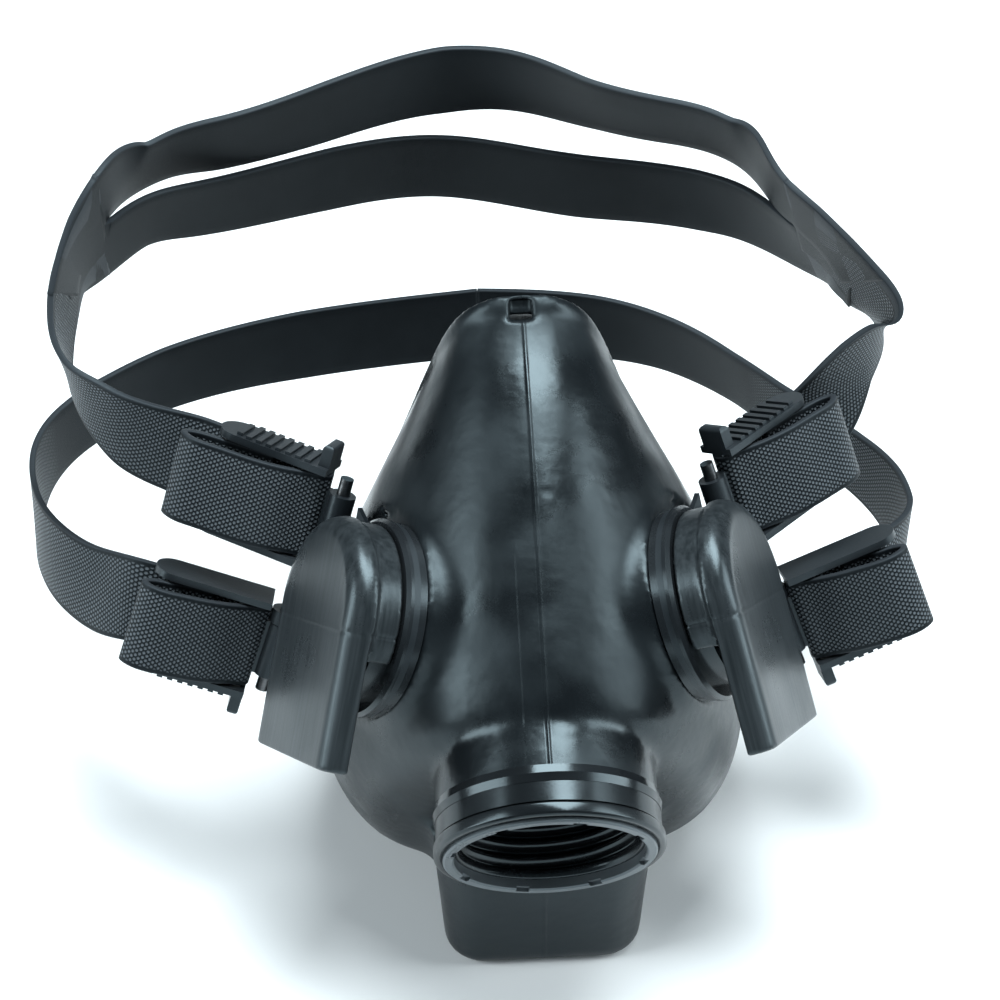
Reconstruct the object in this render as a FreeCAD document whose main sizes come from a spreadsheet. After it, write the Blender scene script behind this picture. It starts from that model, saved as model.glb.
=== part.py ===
"""Half-mask respirator facepiece: rubber mask, a threaded filter port, two exhalation valves and a harness.

Millimetres, +Z up. The origin is the centre of the filter port's mouth. The mask's mid-plane is the YZ plane,
the port looks towards -Y, and the face opening is at +Y. The mask stands on its chin and lower rim.
"""
import FreeCAD, Part
import math
import os
import re

import Sketcher
from FreeCAD import Placement, Rotation, Vector

# ---------------------------------------------------------------- driving sizes (mm and degrees)
SIZES = {
    # rubber facepiece
    "wall": 2.6,
    "chin_width_top": 47.0,
    "chin_width_low": 44.5,
    "chin_front": 12.6,
    "chin_depth": 40.0,
    "chin_corner": 9.0,
    "chin_edge": 2.5,
    "chin_top": 18.0,
    "floor_level": 52.0,
    "rim_nose": 82.6,
    "rim_cheek": 105.0,
    "rim_chin": 88.0,
    "mouth_level": 70.0,
    "seal_lip": 2.2,
    # threaded filter port
    "port_dip": 21.0,
    "crest_radius": 18.4,
    "thread_length": 15.0,
    "insert_radius": 22.2,
    "insert_length": 26.0,
    "neck_radius": 23.4,
    "neck_end": 8.4,
    "neck_length": 22.0,
    "flange_radius": 24.8,
    "flange_back": 3.8,
    "rim_ring_radius": 22.9,
    "rim_ring_bore": 20.5,
    "rim_ring_depth": 2.4,
    "rim_ring_seat": 0.8,
    "band_width": 3.6,
    "band_radius": 24.3,
    "shoulder_bore": 14.0,
    "gasket_thickness": 1.5,
    "gasket_radius": 19.2,
    "notch_count": 8,
    "notch_phase": 30.0,
    # exhalation valves
    "valve_across": 33.2,
    "valve_back": 46.6,
    "valve_up": 27.1,
    "valve_sweep": 11.2,
    "valve_tilt": 24.8,
    "cover_lean": 36.2,
    "valve_hole": 15.0,
    "boss_radius": 21.6,
    "boss_depth": 7.0,
    "seat_bore": 12.5,
    "cup_radius": 18.4,
    "cup_bore": 16.6,
    "cup_top": 9.0,
    "disc_level": 4.0,
    "disc_thickness": 0.8,
    "ring_radius": 21.4,
    "ring_level": 1.6,
    "ring_thickness": 1.6,
    "skirt_radius": 20.2,
    "skirt_bore": 18.8,
    "skirt_level": 5.2,
    "cover_radius": 20.9,
    "cover_drop": 32.0,
    "cover_inner": 11.4,
    "cover_outer": 17.1,
    "cover_wall": 1.7,
    "cover_round": 4.2,
    # buckles and straps
    "strap_width": 20.0,
    "strap_thickness": 1.5,
    "pin_radius": 1.5,
    "pin_clearance": 0.06,
    "barrel_radius": 3.3,
    "knuckle_half": 6.5,
    "eye_inner": 6.8,
    "eye_outer": 10.0,
    "cheek_inner": 10.6,
    "cheek_thickness": 1.6,
    "cheek_start": 3.7,
    "cheek_length": 27.5,
    "cheek_half": 4.9,
    "end_bar": 1.1,
    "roller_at": 8.9,
    "roller_radius": 1.8,
    "clamp_bar_at": 23.0,
    "clamp_bar": 4.0,
    "rib_height": 0.7,
    "rib_pitch": 2.4,
    "tab_height": 6.6,
    "lug_thickness": 1.5,
    "lug_foot": 12.0,
}

doc = FreeCAD.newDocument("respirator")
sheet = doc.addObject("Spreadsheet::Sheet", "Sizes")
for row, (alias, value) in enumerate(SIZES.items(), 1):
    sheet.set("A%d" % row, alias)
    sheet.set("B%d" % row, str(value))
    sheet.setAlias("B%d" % row, alias)
doc.recompute()

NODES = {}


def size(alias):
    """The sheet's value of one driving size."""
    return float(sheet.get(alias))


def formula(text):
    """An expression over the sheet, from words that are its aliases."""
    return re.sub(r"[a-z][a-z_]+", lambda word: "Sizes." + word.group(), str(text))


def bind(thing, prop, text):
    thing.setExpression(prop, formula(text))


def number(text):
    """The value of such an expression now, for the first guess of a sketch."""
    return float(sheet.evalExpression(formula(text)))


def primitive(kind, name, at=(0, 0, 0), turn=None, **sizes):
    """A Part primitive whose sizes, and whose place where it is given as text, follow the sheet."""
    piece = doc.addObject("Part::" + kind, name)
    base = [0.0 if isinstance(value, str) else float(value) for value in at]
    piece.Placement = Placement(Vector(*base), turn or Rotation())
    for prop, text in sizes.items():
        bind(piece, prop, text)
    for letter, value in zip("xyz", at):
        if isinstance(value, str):
            bind(piece, "Placement.Base." + letter, value)
    return piece


def fused(name, pieces):
    joined = doc.addObject("Part::MultiFuse", name)
    joined.Shapes = pieces
    return joined


def cut(name, base, tool):
    result = doc.addObject("Part::Cut", name)
    result.Base = base
    result.Tool = tool
    return result


def shaped(name, shape):
    """A feature whose shape comes from Part's own functions."""
    feature = doc.addObject("Part::Feature", name)
    feature.Shape = shape
    return feature


def turned(name, profile):
    """A PartDesign body revolved about Z from (radius, height) corners, each held by sheet expressions."""
    body = doc.addObject("PartDesign::Body", name)
    sketch = body.newObject("Sketcher::SketchObject", name + "_profile")
    plane = [f for f in body.Origin.OriginFeatures if f.Role == "XZ_Plane"][0]
    sketch.AttachmentSupport = [(plane, "")]
    sketch.MapMode = "FlatFace"
    corners = [Vector(number(r), number(z), 0) for r, z in profile]
    count = len(corners)
    for i in range(count):
        sketch.addGeometry(Part.LineSegment(corners[i], corners[(i + 1) % count]), False)
    for i in range(count):
        sketch.addConstraint(Sketcher.Constraint("Coincident", i, 2, (i + 1) % count, 1))
    for i, (r, z) in enumerate(profile):
        for kind, text, value in (("DistanceX", r, corners[i].x), ("DistanceY", z, corners[i].y)):
            index = sketch.addConstraint(Sketcher.Constraint(kind, -1, 1, i, 1, value))
            bind(sketch, "Constraints[%d]" % index, text)
    turn = body.newObject("PartDesign::Revolution", name + "_turned")
    turn.Profile = sketch
    turn.ReferenceAxis = (sketch, ["V_Axis"])
    turn.Angle = 360.0
    body.Tip = turn
    return body


def node(name, thing, place=None):
    """Names a finished sub-part and puts it where it belongs."""
    thing.Label = name
    if place is not None:
        thing.Placement = place
    NODES[name] = thing
    return thing


def axes_placement(origin, z_axis, x_axis):
    """A placement whose local Z is z_axis and whose local X is as near x_axis as it can be."""
    z = Vector(z_axis).normalize()
    y = z.cross(Vector(x_axis)).normalize()
    return Placement(Vector(origin), Rotation(y.cross(z), y, z, "ZXY"))


# ---------------------------------------------------------------- frames of the port and the valves
dip = math.radians(size("port_dip"))
PORT_OUT = Vector(0, -math.cos(dip), -math.sin(dip))
PORT = axes_placement(Vector(0, 0, 0), PORT_OUT, Vector(1, 0, 0))


def valve_frame(side):
    """Local Z out along the valve, local Y up the cover's long axis; side is +1 for +X and -1 for -X."""
    sweep = math.radians(size("valve_sweep"))
    tilt = math.radians(size("valve_tilt"))
    out = Vector(math.cos(tilt) * math.cos(sweep), -math.cos(tilt) * math.sin(sweep), math.sin(tilt))
    up = (Vector(0, 0, 1) - out * out.z).normalize()
    lean = math.radians(size("cover_lean"))
    long_axis = up * math.cos(lean) + up.cross(out) * math.sin(lean)
    across = long_axis.cross(out)
    origin = Vector(size("valve_across"), size("valve_back"), size("valve_up"))
    mirrored = [Vector(side * v.x, v.y, v.z) for v in (origin, out, across)]
    return axes_placement(mirrored[0], mirrored[1], mirrored[2] * side)


SIDES = {"right": 1, "left": -1}
VALVES = {word: valve_frame(side) for word, side in SIDES.items()}

# ---------------------------------------------------------------- rubber facepiece
# Each station is a closed section through the mask: its top point (y, z) on the ridge, its bottom point (y, z),
# half its width, how far up it is widest (0 bottom, 1 top), how full its upper part is (2 is an ellipse),
# and how much its top is broadened.
STATIONS = (
    (9.5, 27.5, 28.0, -24.0, 25.5, 0.50, 2.00, 0.0),
    (18.0, 35.0, 30.0, -38.0, 33.0, 0.45, 2.00, 0.0),
    (31.0, 44.0, 37.0, -46.0, 41.5, 0.39, 1.93, 1.0),
    (46.0, 54.0, 48.0, -49.5, 47.0, 0.34, 1.81, 3.5),
    (61.0, 63.2, 61.0, -50.5, 50.0, 0.30, 1.70, 7.5),
    (75.0, 70.5, 74.0, -51.2, 51.0, 0.26, 1.63, 14.0),
    (88.0, 76.4, 87.0, -51.2, 47.8, 0.226, 1.49, 24.0),
    (106.0, 88.5, 105.0, -51.2, 44.2, 0.21, 1.10, 24.0),
)
LOWER_FULLNESS = 2.35
TOP_SHARPNESS = 12
SECTION_STEPS = 10


def section_points(station, inset):
    """Points round one section, from the top over +X to the bottom and back, moved in by inset."""
    top_y, top_z, low_y, low_z, half, widest, fullness, broadening = station
    top = Vector(0, top_y, top_z)
    low = Vector(0, low_y, low_z)
    up = (top - low).normalize()
    height = (top - low).Length
    middle = low + up * (height * widest)
    above = height * (1 - widest) - inset
    below = height * widest - inset
    half = half - inset
    right = []
    for step in range(SECTION_STEPS + 1):
        angle = math.pi / 2 * step / SECTION_STEPS
        x = half * math.sin(angle) ** (2 / fullness)
        x += broadening * math.sin(angle) * math.cos(angle) ** TOP_SHARPNESS
        z = above * math.cos(angle) ** (2 / fullness)
        right.append(middle + Vector(x, 0, 0) + up * z)
    for step in range(1, SECTION_STEPS + 1):
        angle = math.pi / 2 * step / SECTION_STEPS
        x = half * math.cos(angle) ** (2 / LOWER_FULLNESS)
        z = below * math.sin(angle) ** (2 / LOWER_FULLNESS)
        right.append(middle + Vector(x, 0, 0) - up * z)
    left = [Vector(-p.x, p.y, p.z) for p in right[-2:0:-1]]
    return right + left


def section_wire(points):
    curve = Part.BSplineCurve()
    curve.interpolate(Points=points, PeriodicFlag=True)
    return Part.Wire([curve.toShape()])


def mask_loft(inset):
    """The mask's outside, or with an inset its hollow, which starts one wall behind the front."""
    wires = []
    for station in STATIONS:
        points = section_points(station, inset)
        wires.append(section_wire([p + Vector(0, inset, 0) for p in points]))
    return Part.makeLoft(wires, True, False)


def rim_body(shift):
    """Everything in front of the curved face rim, moved forward by shift."""
    nose = Vector(0, size("rim_nose") - shift, 100)
    cheek = Vector(0, size("rim_cheek") - shift, 20)
    chin = Vector(0, size("rim_chin") - shift, -size("floor_level"))
    front_low = Vector(0, -60, chin.z)
    front_high = Vector(0, -60, nose.z)
    edges = [
        Part.Arc(nose, cheek, chin).toShape(),
        Part.LineSegment(chin, front_low).toShape(),
        Part.LineSegment(front_low, front_high).toShape(),
        Part.LineSegment(front_high, nose).toShape(),
    ]
    face = Part.Face(Part.Wire(edges))
    face.translate(Vector(-80, 0, 0))
    return face.extrude(Vector(160, 0, 0))


def rounded_rectangle(half, front, back, corner, level):
    """A closed wire at one height with its two front corners rounded."""
    left_back = Vector(-half, back, level)
    left_low = Vector(-half, front + corner, level)
    front_left = Vector(corner - half, front, level)
    front_right = Vector(half - corner, front, level)
    right_low = Vector(half, front + corner, level)
    right_back = Vector(half, back, level)
    bulge = corner * (1 - math.sqrt(0.5))
    left_middle = Vector(bulge - half, front + bulge, level)
    right_middle = Vector(half - bulge, front + bulge, level)
    return Part.Wire([
        Part.LineSegment(left_back, left_low).toShape(),
        Part.Arc(left_low, left_middle, front_left).toShape(),
        Part.LineSegment(front_left, front_right).toShape(),
        Part.Arc(front_right, right_middle, right_low).toShape(),
        Part.LineSegment(right_low, right_back).toShape(),
        Part.LineSegment(right_back, left_back).toShape(),
    ])


def chin_block(inset):
    """The chin cup under the port: it narrows downwards, with round corners and a soft bottom edge."""
    front = size("chin_front") + inset
    back = size("chin_front") + size("chin_depth")
    corner = size("chin_corner") - inset
    bottom = -size("floor_level") + inset
    top = -size("chin_top") - inset
    low = rounded_rectangle(size("chin_width_low") / 2 - inset, front, back, corner, bottom)
    high = rounded_rectangle(size("chin_width_top") / 2 - inset, front, back, corner, top)
    block = Part.makeLoft([low, high], True, True)
    edges = []
    for edge in block.Edges:
        box = edge.BoundBox
        if box.ZMax < bottom + 0.01 and box.YMin < back - 0.01:
            edges.append(edge)
    return block.makeFillet(size("chin_edge"), edges)


# Room left round each valve's flange where the mask's side would otherwise rise past it.
SEAT_ROOM = 1.5


def placed_cylinder(radius, start, length, place):
    tool = Part.makeCylinder(radius, length, Vector(0, 0, start))
    tool.Placement = place
    return tool


def facepiece():
    wall = size("wall")
    front = rim_body(0)
    outer = mask_loft(0).fuse(chin_block(0)).common(front)
    hollow = mask_loft(wall).fuse(chin_block(wall))
    shell = outer.cut(hollow)
    lip_zone = front.cut(rim_body(size("seal_lip")))
    rim_section = section_points(STATIONS[6], 0)
    mouth = section_wire([Vector(p.x * 0.72, size("mouth_level"), p.z * 0.74 + 1) for p in rim_section])
    opening = Part.Face(mouth).extrude(Vector(0, 50, 0))
    shell = shell.fuse(mask_loft(0).common(lip_zone).cut(opening))
    fittings = size("neck_end") + size("band_width") + 0.2
    shell = shell.cut(placed_cylinder(size("flange_radius") + 0.4, -fittings, 30, PORT))
    tall = size("neck_length") - size("neck_end")
    neck = placed_cylinder(size("neck_radius"), -size("neck_length"), tall, PORT)
    shell = shell.fuse(neck)
    for place in VALVES.values():
        depth = size("boss_depth")
        shell = shell.fuse(placed_cylinder(size("boss_radius"), -depth, depth, place))
    for place in VALVES.values():
        shell = shell.cut(placed_cylinder(size("ring_radius") + SEAT_ROOM, 0, size("cup_top"), place))
        shell = shell.cut(placed_cylinder(size("valve_hole"), -20, 40, place))
    shell = shell.cut(placed_cylinder(size("insert_radius"), -40, 60, PORT))
    return shell


def build_facepiece():
    solid = max(facepiece().Solids, key=lambda s: s.Volume)
    node("facepiece", shaped("facepiece", solid), Placement())


# ---------------------------------------------------------------- threaded filter port, about the port's axis
def build_port():
    insert = [
        ("shoulder_bore", "-insert_length"),
        ("insert_radius", "-insert_length"),
        ("insert_radius", "-flange_back"),
        ("flange_radius", "-flange_back"),
        ("flange_radius", "-rim_ring_seat"),
        ("rim_ring_radius", "-rim_ring_seat"),
        ("rim_ring_radius", "-rim_ring_depth"),
        ("crest_radius + 1.4", "-rim_ring_depth"),
        ("crest_radius", "-rim_ring_depth - 1.4"),
        ("crest_radius", "-thread_length - flange_back"),
        ("gasket_radius", "-thread_length - flange_back"),
        ("gasket_radius", "-thread_length - flange_back - gasket_thickness"),
        ("shoulder_bore", "-thread_length - flange_back - gasket_thickness"),
    ]
    node("port_insert", turned("port_insert", insert), PORT)
    gasket = [
        ("shoulder_bore + 0.5", "-thread_length - flange_back - gasket_thickness"),
        ("gasket_radius", "-thread_length - flange_back - gasket_thickness"),
        ("gasket_radius", "-thread_length - flange_back"),
        ("shoulder_bore + 0.5", "-thread_length - flange_back"),
    ]
    node("port_gasket", turned("port_gasket", gasket), PORT)
    band = [
        ("neck_radius", "-neck_end"),
        ("neck_radius", "-neck_end - band_width"),
        ("band_radius", "-neck_end - band_width"),
        ("band_radius + 0.3", "-neck_end - 0.5 * band_width"),
        ("band_radius", "-neck_end"),
    ]
    node("port_clamp_band", turned("port_clamp_band", band), PORT)
    collar = [
        ("insert_radius", "-neck_end"),
        ("insert_radius", "-flange_back - 0.4"),
        ("flange_radius - 0.6", "-flange_back - 0.4"),
        ("flange_radius - 0.6", "-neck_end"),
    ]
    node("port_collar", turned("port_collar", collar), PORT)
    build_rim_ring()
    build_inhalation_valve()


def build_rim_ring():
    """The castellated ring in the port's mouth: a flat ring with square notches round its inner edge."""
    ring = turned("rim_ring_blank", [
        ("rim_ring_bore", "-rim_ring_depth"),
        ("rim_ring_radius", "-rim_ring_depth"),
        ("rim_ring_radius", "-0.3"),
        ("rim_ring_radius - 0.4", "0.05"),
        ("rim_ring_bore + 0.4", "0.05"),
        ("rim_ring_bore", "-0.3"),
    ])
    notches = []
    count = int(size("notch_count"))
    for index in range(count):
        notch = primitive("Box", "rim_notch_%d" % index, Length="1.6", Width="3", Height="1.2")
        turn = Rotation(Vector(0, 0, 1), size("notch_phase") + 360.0 / count * index)
        corner = turn.multVec(Vector(size("rim_ring_bore") - 0.5, -1.5, -0.8))
        notch.Placement = Placement(corner, turn)
        notches.append(notch)
    node("port_rim_ring", cut("port_rim_ring", ring, fused("rim_notches", notches)), PORT)


def spider(name, rim_radius, hub_radius, level, depth):
    """Three spokes and a hub with a stem hole, across an opening."""
    pieces = [primitive("Cylinder", name + "_hub", at=(0, 0, level), Radius=hub_radius, Height=depth)]
    for index in range(3):
        spoke = primitive("Box", "%s_spoke_%d" % (name, index), Length=rim_radius, Width="1.8", Height=depth)
        turn = Rotation(Vector(0, 0, 1), 120.0 * index)
        spoke.Placement = Placement(turn.multVec(Vector(0, -0.9, number(level))), turn)
        pieces.append(spoke)
    return pieces


def disc_and_stem(name, radius, level, stem_length, direction):
    """A thin rubber flap with a stem through the hub and a bulb that keeps it there."""
    flap = primitive("Cylinder", name + "_flap", at=(0, 0, level), Radius=radius, Height="disc_thickness")
    start = number(level) if direction > 0 else number(level) + size("disc_thickness")
    down = Rotation(Vector(1, 0, 0), 180) if direction > 0 else Rotation()
    stem = primitive("Cylinder", name + "_stem", turn=down, at=(0, 0, start),
                     Radius="1.1", Height=stem_length)
    bulb_place = start - direction * number(stem_length)
    bulb = primitive("Sphere", name + "_bulb", at=(0, 0, bulb_place), Radius="1.7")
    return fused(name, [flap, stem, bulb])


def build_inhalation_valve():
    ring = turned("inhalation_ring", [
        ("shoulder_bore - 2.5", "-insert_length - 2"),
        ("insert_radius - 0.6", "-insert_length - 2"),
        ("insert_radius - 0.6", "-insert_length"),
        ("shoulder_bore - 2.5", "-insert_length"),
    ])
    spokes = spider("inhalation", "shoulder_bore - 2", "2.6", "-insert_length - 2", "1.4")
    hole = primitive("Cylinder", "inhalation_hole", at=(0, 0, "-insert_length - 4"), Radius="1.3", Height="8")
    seat = cut("inhalation_valve_seat", fused("inhalation_seat_blank", [ring] + spokes), hole)
    node("inhalation_valve_seat", seat, PORT)
    level = "-insert_length - 2.15 - disc_thickness"
    disc = disc_and_stem("inhalation_valve_disc", "shoulder_bore", level, "6.6", -1)
    node("inhalation_valve_disc", disc, PORT)


# ---------------------------------------------------------------- exhalation valves, about each valve's axis
def build_seat(word, place):
    name = "exhalation_seat_" + word
    tube = turned(name + "_tube", [
        ("seat_bore", "-boss_depth - 1.6"),
        ("valve_hole + 1.6", "-boss_depth - 1.6"),
        ("valve_hole + 1.2", "-boss_depth - 0.1"),
        ("valve_hole", "-boss_depth - 0.1"),
        ("valve_hole", "0"),
        ("ring_radius", "0"),
        ("ring_radius", "ring_level"),
        ("cup_radius", "ring_level"),
        ("cup_radius", "cup_top"),
        ("cup_bore", "cup_top"),
        ("cup_bore", "disc_level - 0.6"),
        ("seat_bore + 1", "disc_level - 0.6"),
        ("seat_bore + 0.6", "disc_level"),
        ("seat_bore", "disc_level"),
    ])
    spokes = spider(name, "seat_bore + 0.5", "2.6", "disc_level - 2", "1.6")
    hole = primitive("Cylinder", name + "_hole", at=(0, 0, -2), Radius="1.3", Height="10")
    node(name, cut(name, fused(name + "_blank", [tube] + spokes), hole), place)
    level = "disc_level + 0.15"
    disc = disc_and_stem("exhalation_disc_" + word, "seat_bore + 2", level, "6.2", 1)
    node("exhalation_disc_" + word, disc, place)


def d_prism(name, radius, low, high, extra):
    """A plate with a round top and straight sides down to an open bottom end, along the cover's long axis."""
    thickness = "%s - (%s)" % (high, low)
    round_part = primitive("Cylinder", name + "_round", at=(0, 0, low), Radius=radius, Height=thickness)
    straight = primitive("Box", name + "_straight", at=("-1 * (%s)" % radius, extra, low),
                         Length="2 * (%s)" % radius, Width="-1 * (%s)" % extra, Height=thickness)
    return fused(name, [round_part, straight])


def build_cover(word, place):
    """A hood with a half skirt that clips round the valve's cup; the air leaves at its open bottom end."""
    name = "valve_cover_" + word
    blank = d_prism(name + "_outside", "cover_radius", "cover_inner", "cover_outer", "-cover_drop")
    doc.recompute()
    rounded = doc.addObject("Part::Fillet", name + "_rounded")
    rounded.Base = blank
    top = size("cover_outer")
    edges = []
    for index, edge in enumerate(blank.Shape.Edges, 1):
        box = edge.BoundBox
        along_bottom = box.YMax < -size("cover_drop") + 0.1
        if box.ZMin > top - 0.01 and not along_bottom and not (box.YLength < 0.01 and box.XLength > 30):
            edges.append((index, size("cover_round"), size("cover_round")))
    rounded.Edges = edges
    skirt = primitive("Cylinder", name + "_skirt", at=(0, 0, "skirt_level"),
                      Radius="skirt_radius", Height="cover_inner - skirt_level + 0.2")
    lower_half = primitive("Box", name + "_lower_half", at=(-30, -62, "skirt_level - 1"),
                           Length="60", Width="60", Height="cover_inner - skirt_level + 1")
    half_skirt = cut(name + "_half_skirt", skirt, lower_half)
    hollow = d_prism(name + "_hollow", "cover_radius - cover_wall", "cover_inner - 0.3",
                     "cover_outer - cover_wall", "-cover_drop - 2")
    skirt_hollow = primitive("Cylinder", name + "_skirt_hollow", at=(0, 0, "skirt_level - 1"),
                             Radius="skirt_bore", Height="cover_inner - skirt_level + 2")
    whole = fused(name + "_whole", [rounded, half_skirt])
    node(name, cut(name, whole, fused(name + "_hollows", [hollow, skirt_hollow])), place)


def build_retaining_ring(word, place):
    ring = turned("retaining_ring_" + word, [
        ("cup_radius", "ring_level + ring_thickness"),
        ("ring_radius + 0.4", "ring_level + ring_thickness"),
        ("ring_radius + 0.4", "ring_level + ring_thickness + 0.8"),
        ("ring_radius - 0.4", "ring_level + ring_thickness + 1.6"),
        ("cup_radius", "ring_level + ring_thickness + 1.6"),
    ])
    node("retaining_ring_" + word, ring, place)


# ---------------------------------------------------------------- buckle hinges
# Of each hinge on the +X side: its middle, its axis (up along the strap's width); the -X side is its mirror.
HINGES = {
    "upper": (Vector(43.0, 71.6, 34.2), Vector(-0.30, 0.33, 0.895)),
    "lower": (Vector(58.6, 63.6, 2.8), Vector(-0.34, 0.35, 0.87)),
}
# How far each buckle is swung out from straight back, and how far its strap reaches from the hinge.
BUCKLES = {
    ("upper", "left"): (63.0, 37.0),
    ("upper", "right"): (46.0, 35.0),
    ("lower", "left"): (80.0, 32.5),
    ("lower", "right"): (77.0, 31.0),
}


def mirrored(vector, side):
    return Vector(side * vector.x, vector.y, vector.z)


def hinge(level, side):
    middle, axis = HINGES[level]
    return mirrored(middle, side), mirrored(axis, side).normalize()


def buckle_frame(level, word):
    """Local X along the strap away from the hinge, local Z along the hinge towards the ribbed grip."""
    side = SIDES[word]
    middle, axis = hinge(level, side)
    back = (Vector(0, 1, 0) - axis * axis.y).normalize()
    out = axis.cross(back) * -side
    swing = math.radians(BUCKLES[level, word][0])
    along = back * math.cos(swing) + out * math.sin(swing)
    grip = axis if level == "upper" else axis * -1
    return axes_placement(middle, grip, along)


def outward_sign(level, word):
    """+1 where the buckle's local Y points away from the mask."""
    return (1 if word == "left" else -1) * (1 if level == "upper" else -1)


def rectangle_wire(centre, across, through):
    near = [centre + across + through, centre - across + through]
    far = [centre - across - through, centre + across - through]
    return Part.makePolygon(near + far + near[:1])


def hinge_lug(word, level):
    """The thin three-cornered plate and its two eyes, which hold a buckle's hinge pin beside the valve."""
    side = SIDES[word]
    place = VALVES[word]
    middle, axis = hinge(level, side)
    local = place.inverse().multVec(middle)
    toward = Vector(local.x, local.y, 0).normalize()
    reach = (size("cup_radius") + size("ring_radius")) / 2
    ring_level = size("ring_level") + size("ring_thickness") / 2
    foot = place.multVec(toward * reach + Vector(0, 0, ring_level))
    half_wide = size("eye_outer")
    along = place.Rotation.multVec(Vector(-toward.y, toward.x, 0))
    if along.dot(axis) < 0:
        along = along * -1
    normal = axis.cross(foot - middle).normalize()
    half_thick = size("lug_thickness") / 2
    foot_half = size("lug_foot") / 2
    outlines = []
    for sign in (-1, 1):
        shift = normal * (half_thick * sign)
        spine = [middle + axis * half_wide + shift, middle - axis * half_wide + shift]
        spine += [foot - along * foot_half + shift, foot + along * foot_half + shift]
        outlines.append(Part.makePolygon(spine + spine[:1]))
    plate = hull_of_quads(outlines)
    eyes = []
    for sign in (-1, 1):
        low = size("eye_inner") if sign > 0 else -size("eye_outer")
        depth = size("eye_outer") - size("eye_inner")
        eyes.append(Part.makeCylinder(size("barrel_radius"), depth, middle + axis * low, axis))
    inner = size("eye_inner")
    room = Part.makeCylinder(size("barrel_radius") + 2.2, 2 * inner, middle - axis * inner, axis)
    bore = size("pin_radius") + size("pin_clearance")
    hole = Part.makeCylinder(bore, 2.4 * half_wide, middle - axis * (1.2 * half_wide), axis)
    return plate.cut(room).fuse(eyes), hole


def hull_of_quads(wires):
    """The solid between two four-cornered wires with matching corners, its faces split in triangles."""
    near = [v.Point for v in wires[0].OrderedVertexes]
    far = [v.Point for v in wires[1].OrderedVertexes]
    faces = []
    for ring in (near, far):
        for triple in ((0, 1, 2), (0, 2, 3)):
            points = [ring[i] for i in triple]
            faces.append(Part.Face(Part.makePolygon(points + points[:1])))
    for i in range(4):
        j = (i + 1) % 4
        for points in ([near[i], near[j], far[j]], [near[i], far[j], far[i]]):
            faces.append(Part.Face(Part.makePolygon(points + points[:1])))
    return Part.Solid(Part.Shell(faces))


def build_bracket(word, place):
    """The harness bracket: a flat ring round the valve's cup with an upper and a lower hinge lug."""
    level = size("ring_level")
    ring = Part.makeCylinder(size("ring_radius"), size("ring_thickness"), Vector(0, 0, level))
    ring.Placement = place
    holes = []
    for height in ("upper", "lower"):
        lug, hole = hinge_lug(word, height)
        ring = ring.fuse(lug)
        holes.append(hole)
    middle = Part.makeCylinder(size("cup_radius"), 30, Vector(0, 0, -10))
    middle.Placement = place
    keep_out = Part.makeCylinder(size("ring_radius") + 0.6, 20, Vector(0, 0, level + size("ring_thickness")))
    keep_out.Placement = place
    below = Part.makeCylinder(size("ring_radius") + 1.0, 20, Vector(0, 0, level - 20))
    below.Placement = place
    solid = ring.cut([middle, keep_out, below] + holes)
    solid = max(solid.Solids, key=lambda s: s.Volume)
    node("harness_bracket_" + word, shaped("harness_bracket_" + word, solid.removeSplitter()), Placement())


# ---------------------------------------------------------------- buckles, in each buckle's own frame
def cheek(name, low):
    """A flat side plate with a round far end, its inner face at height low."""
    plate = primitive("Box", name + "_plate", at=("cheek_start", "-cheek_half", low),
                      Length="cheek_length - cheek_half", Width="2 * cheek_half", Height="cheek_thickness")
    end = primitive("Cylinder", name + "_end", at=("cheek_start + cheek_length - cheek_half", 0, low),
                    Radius="cheek_half", Height="cheek_thickness")
    return [plate, end]


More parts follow.
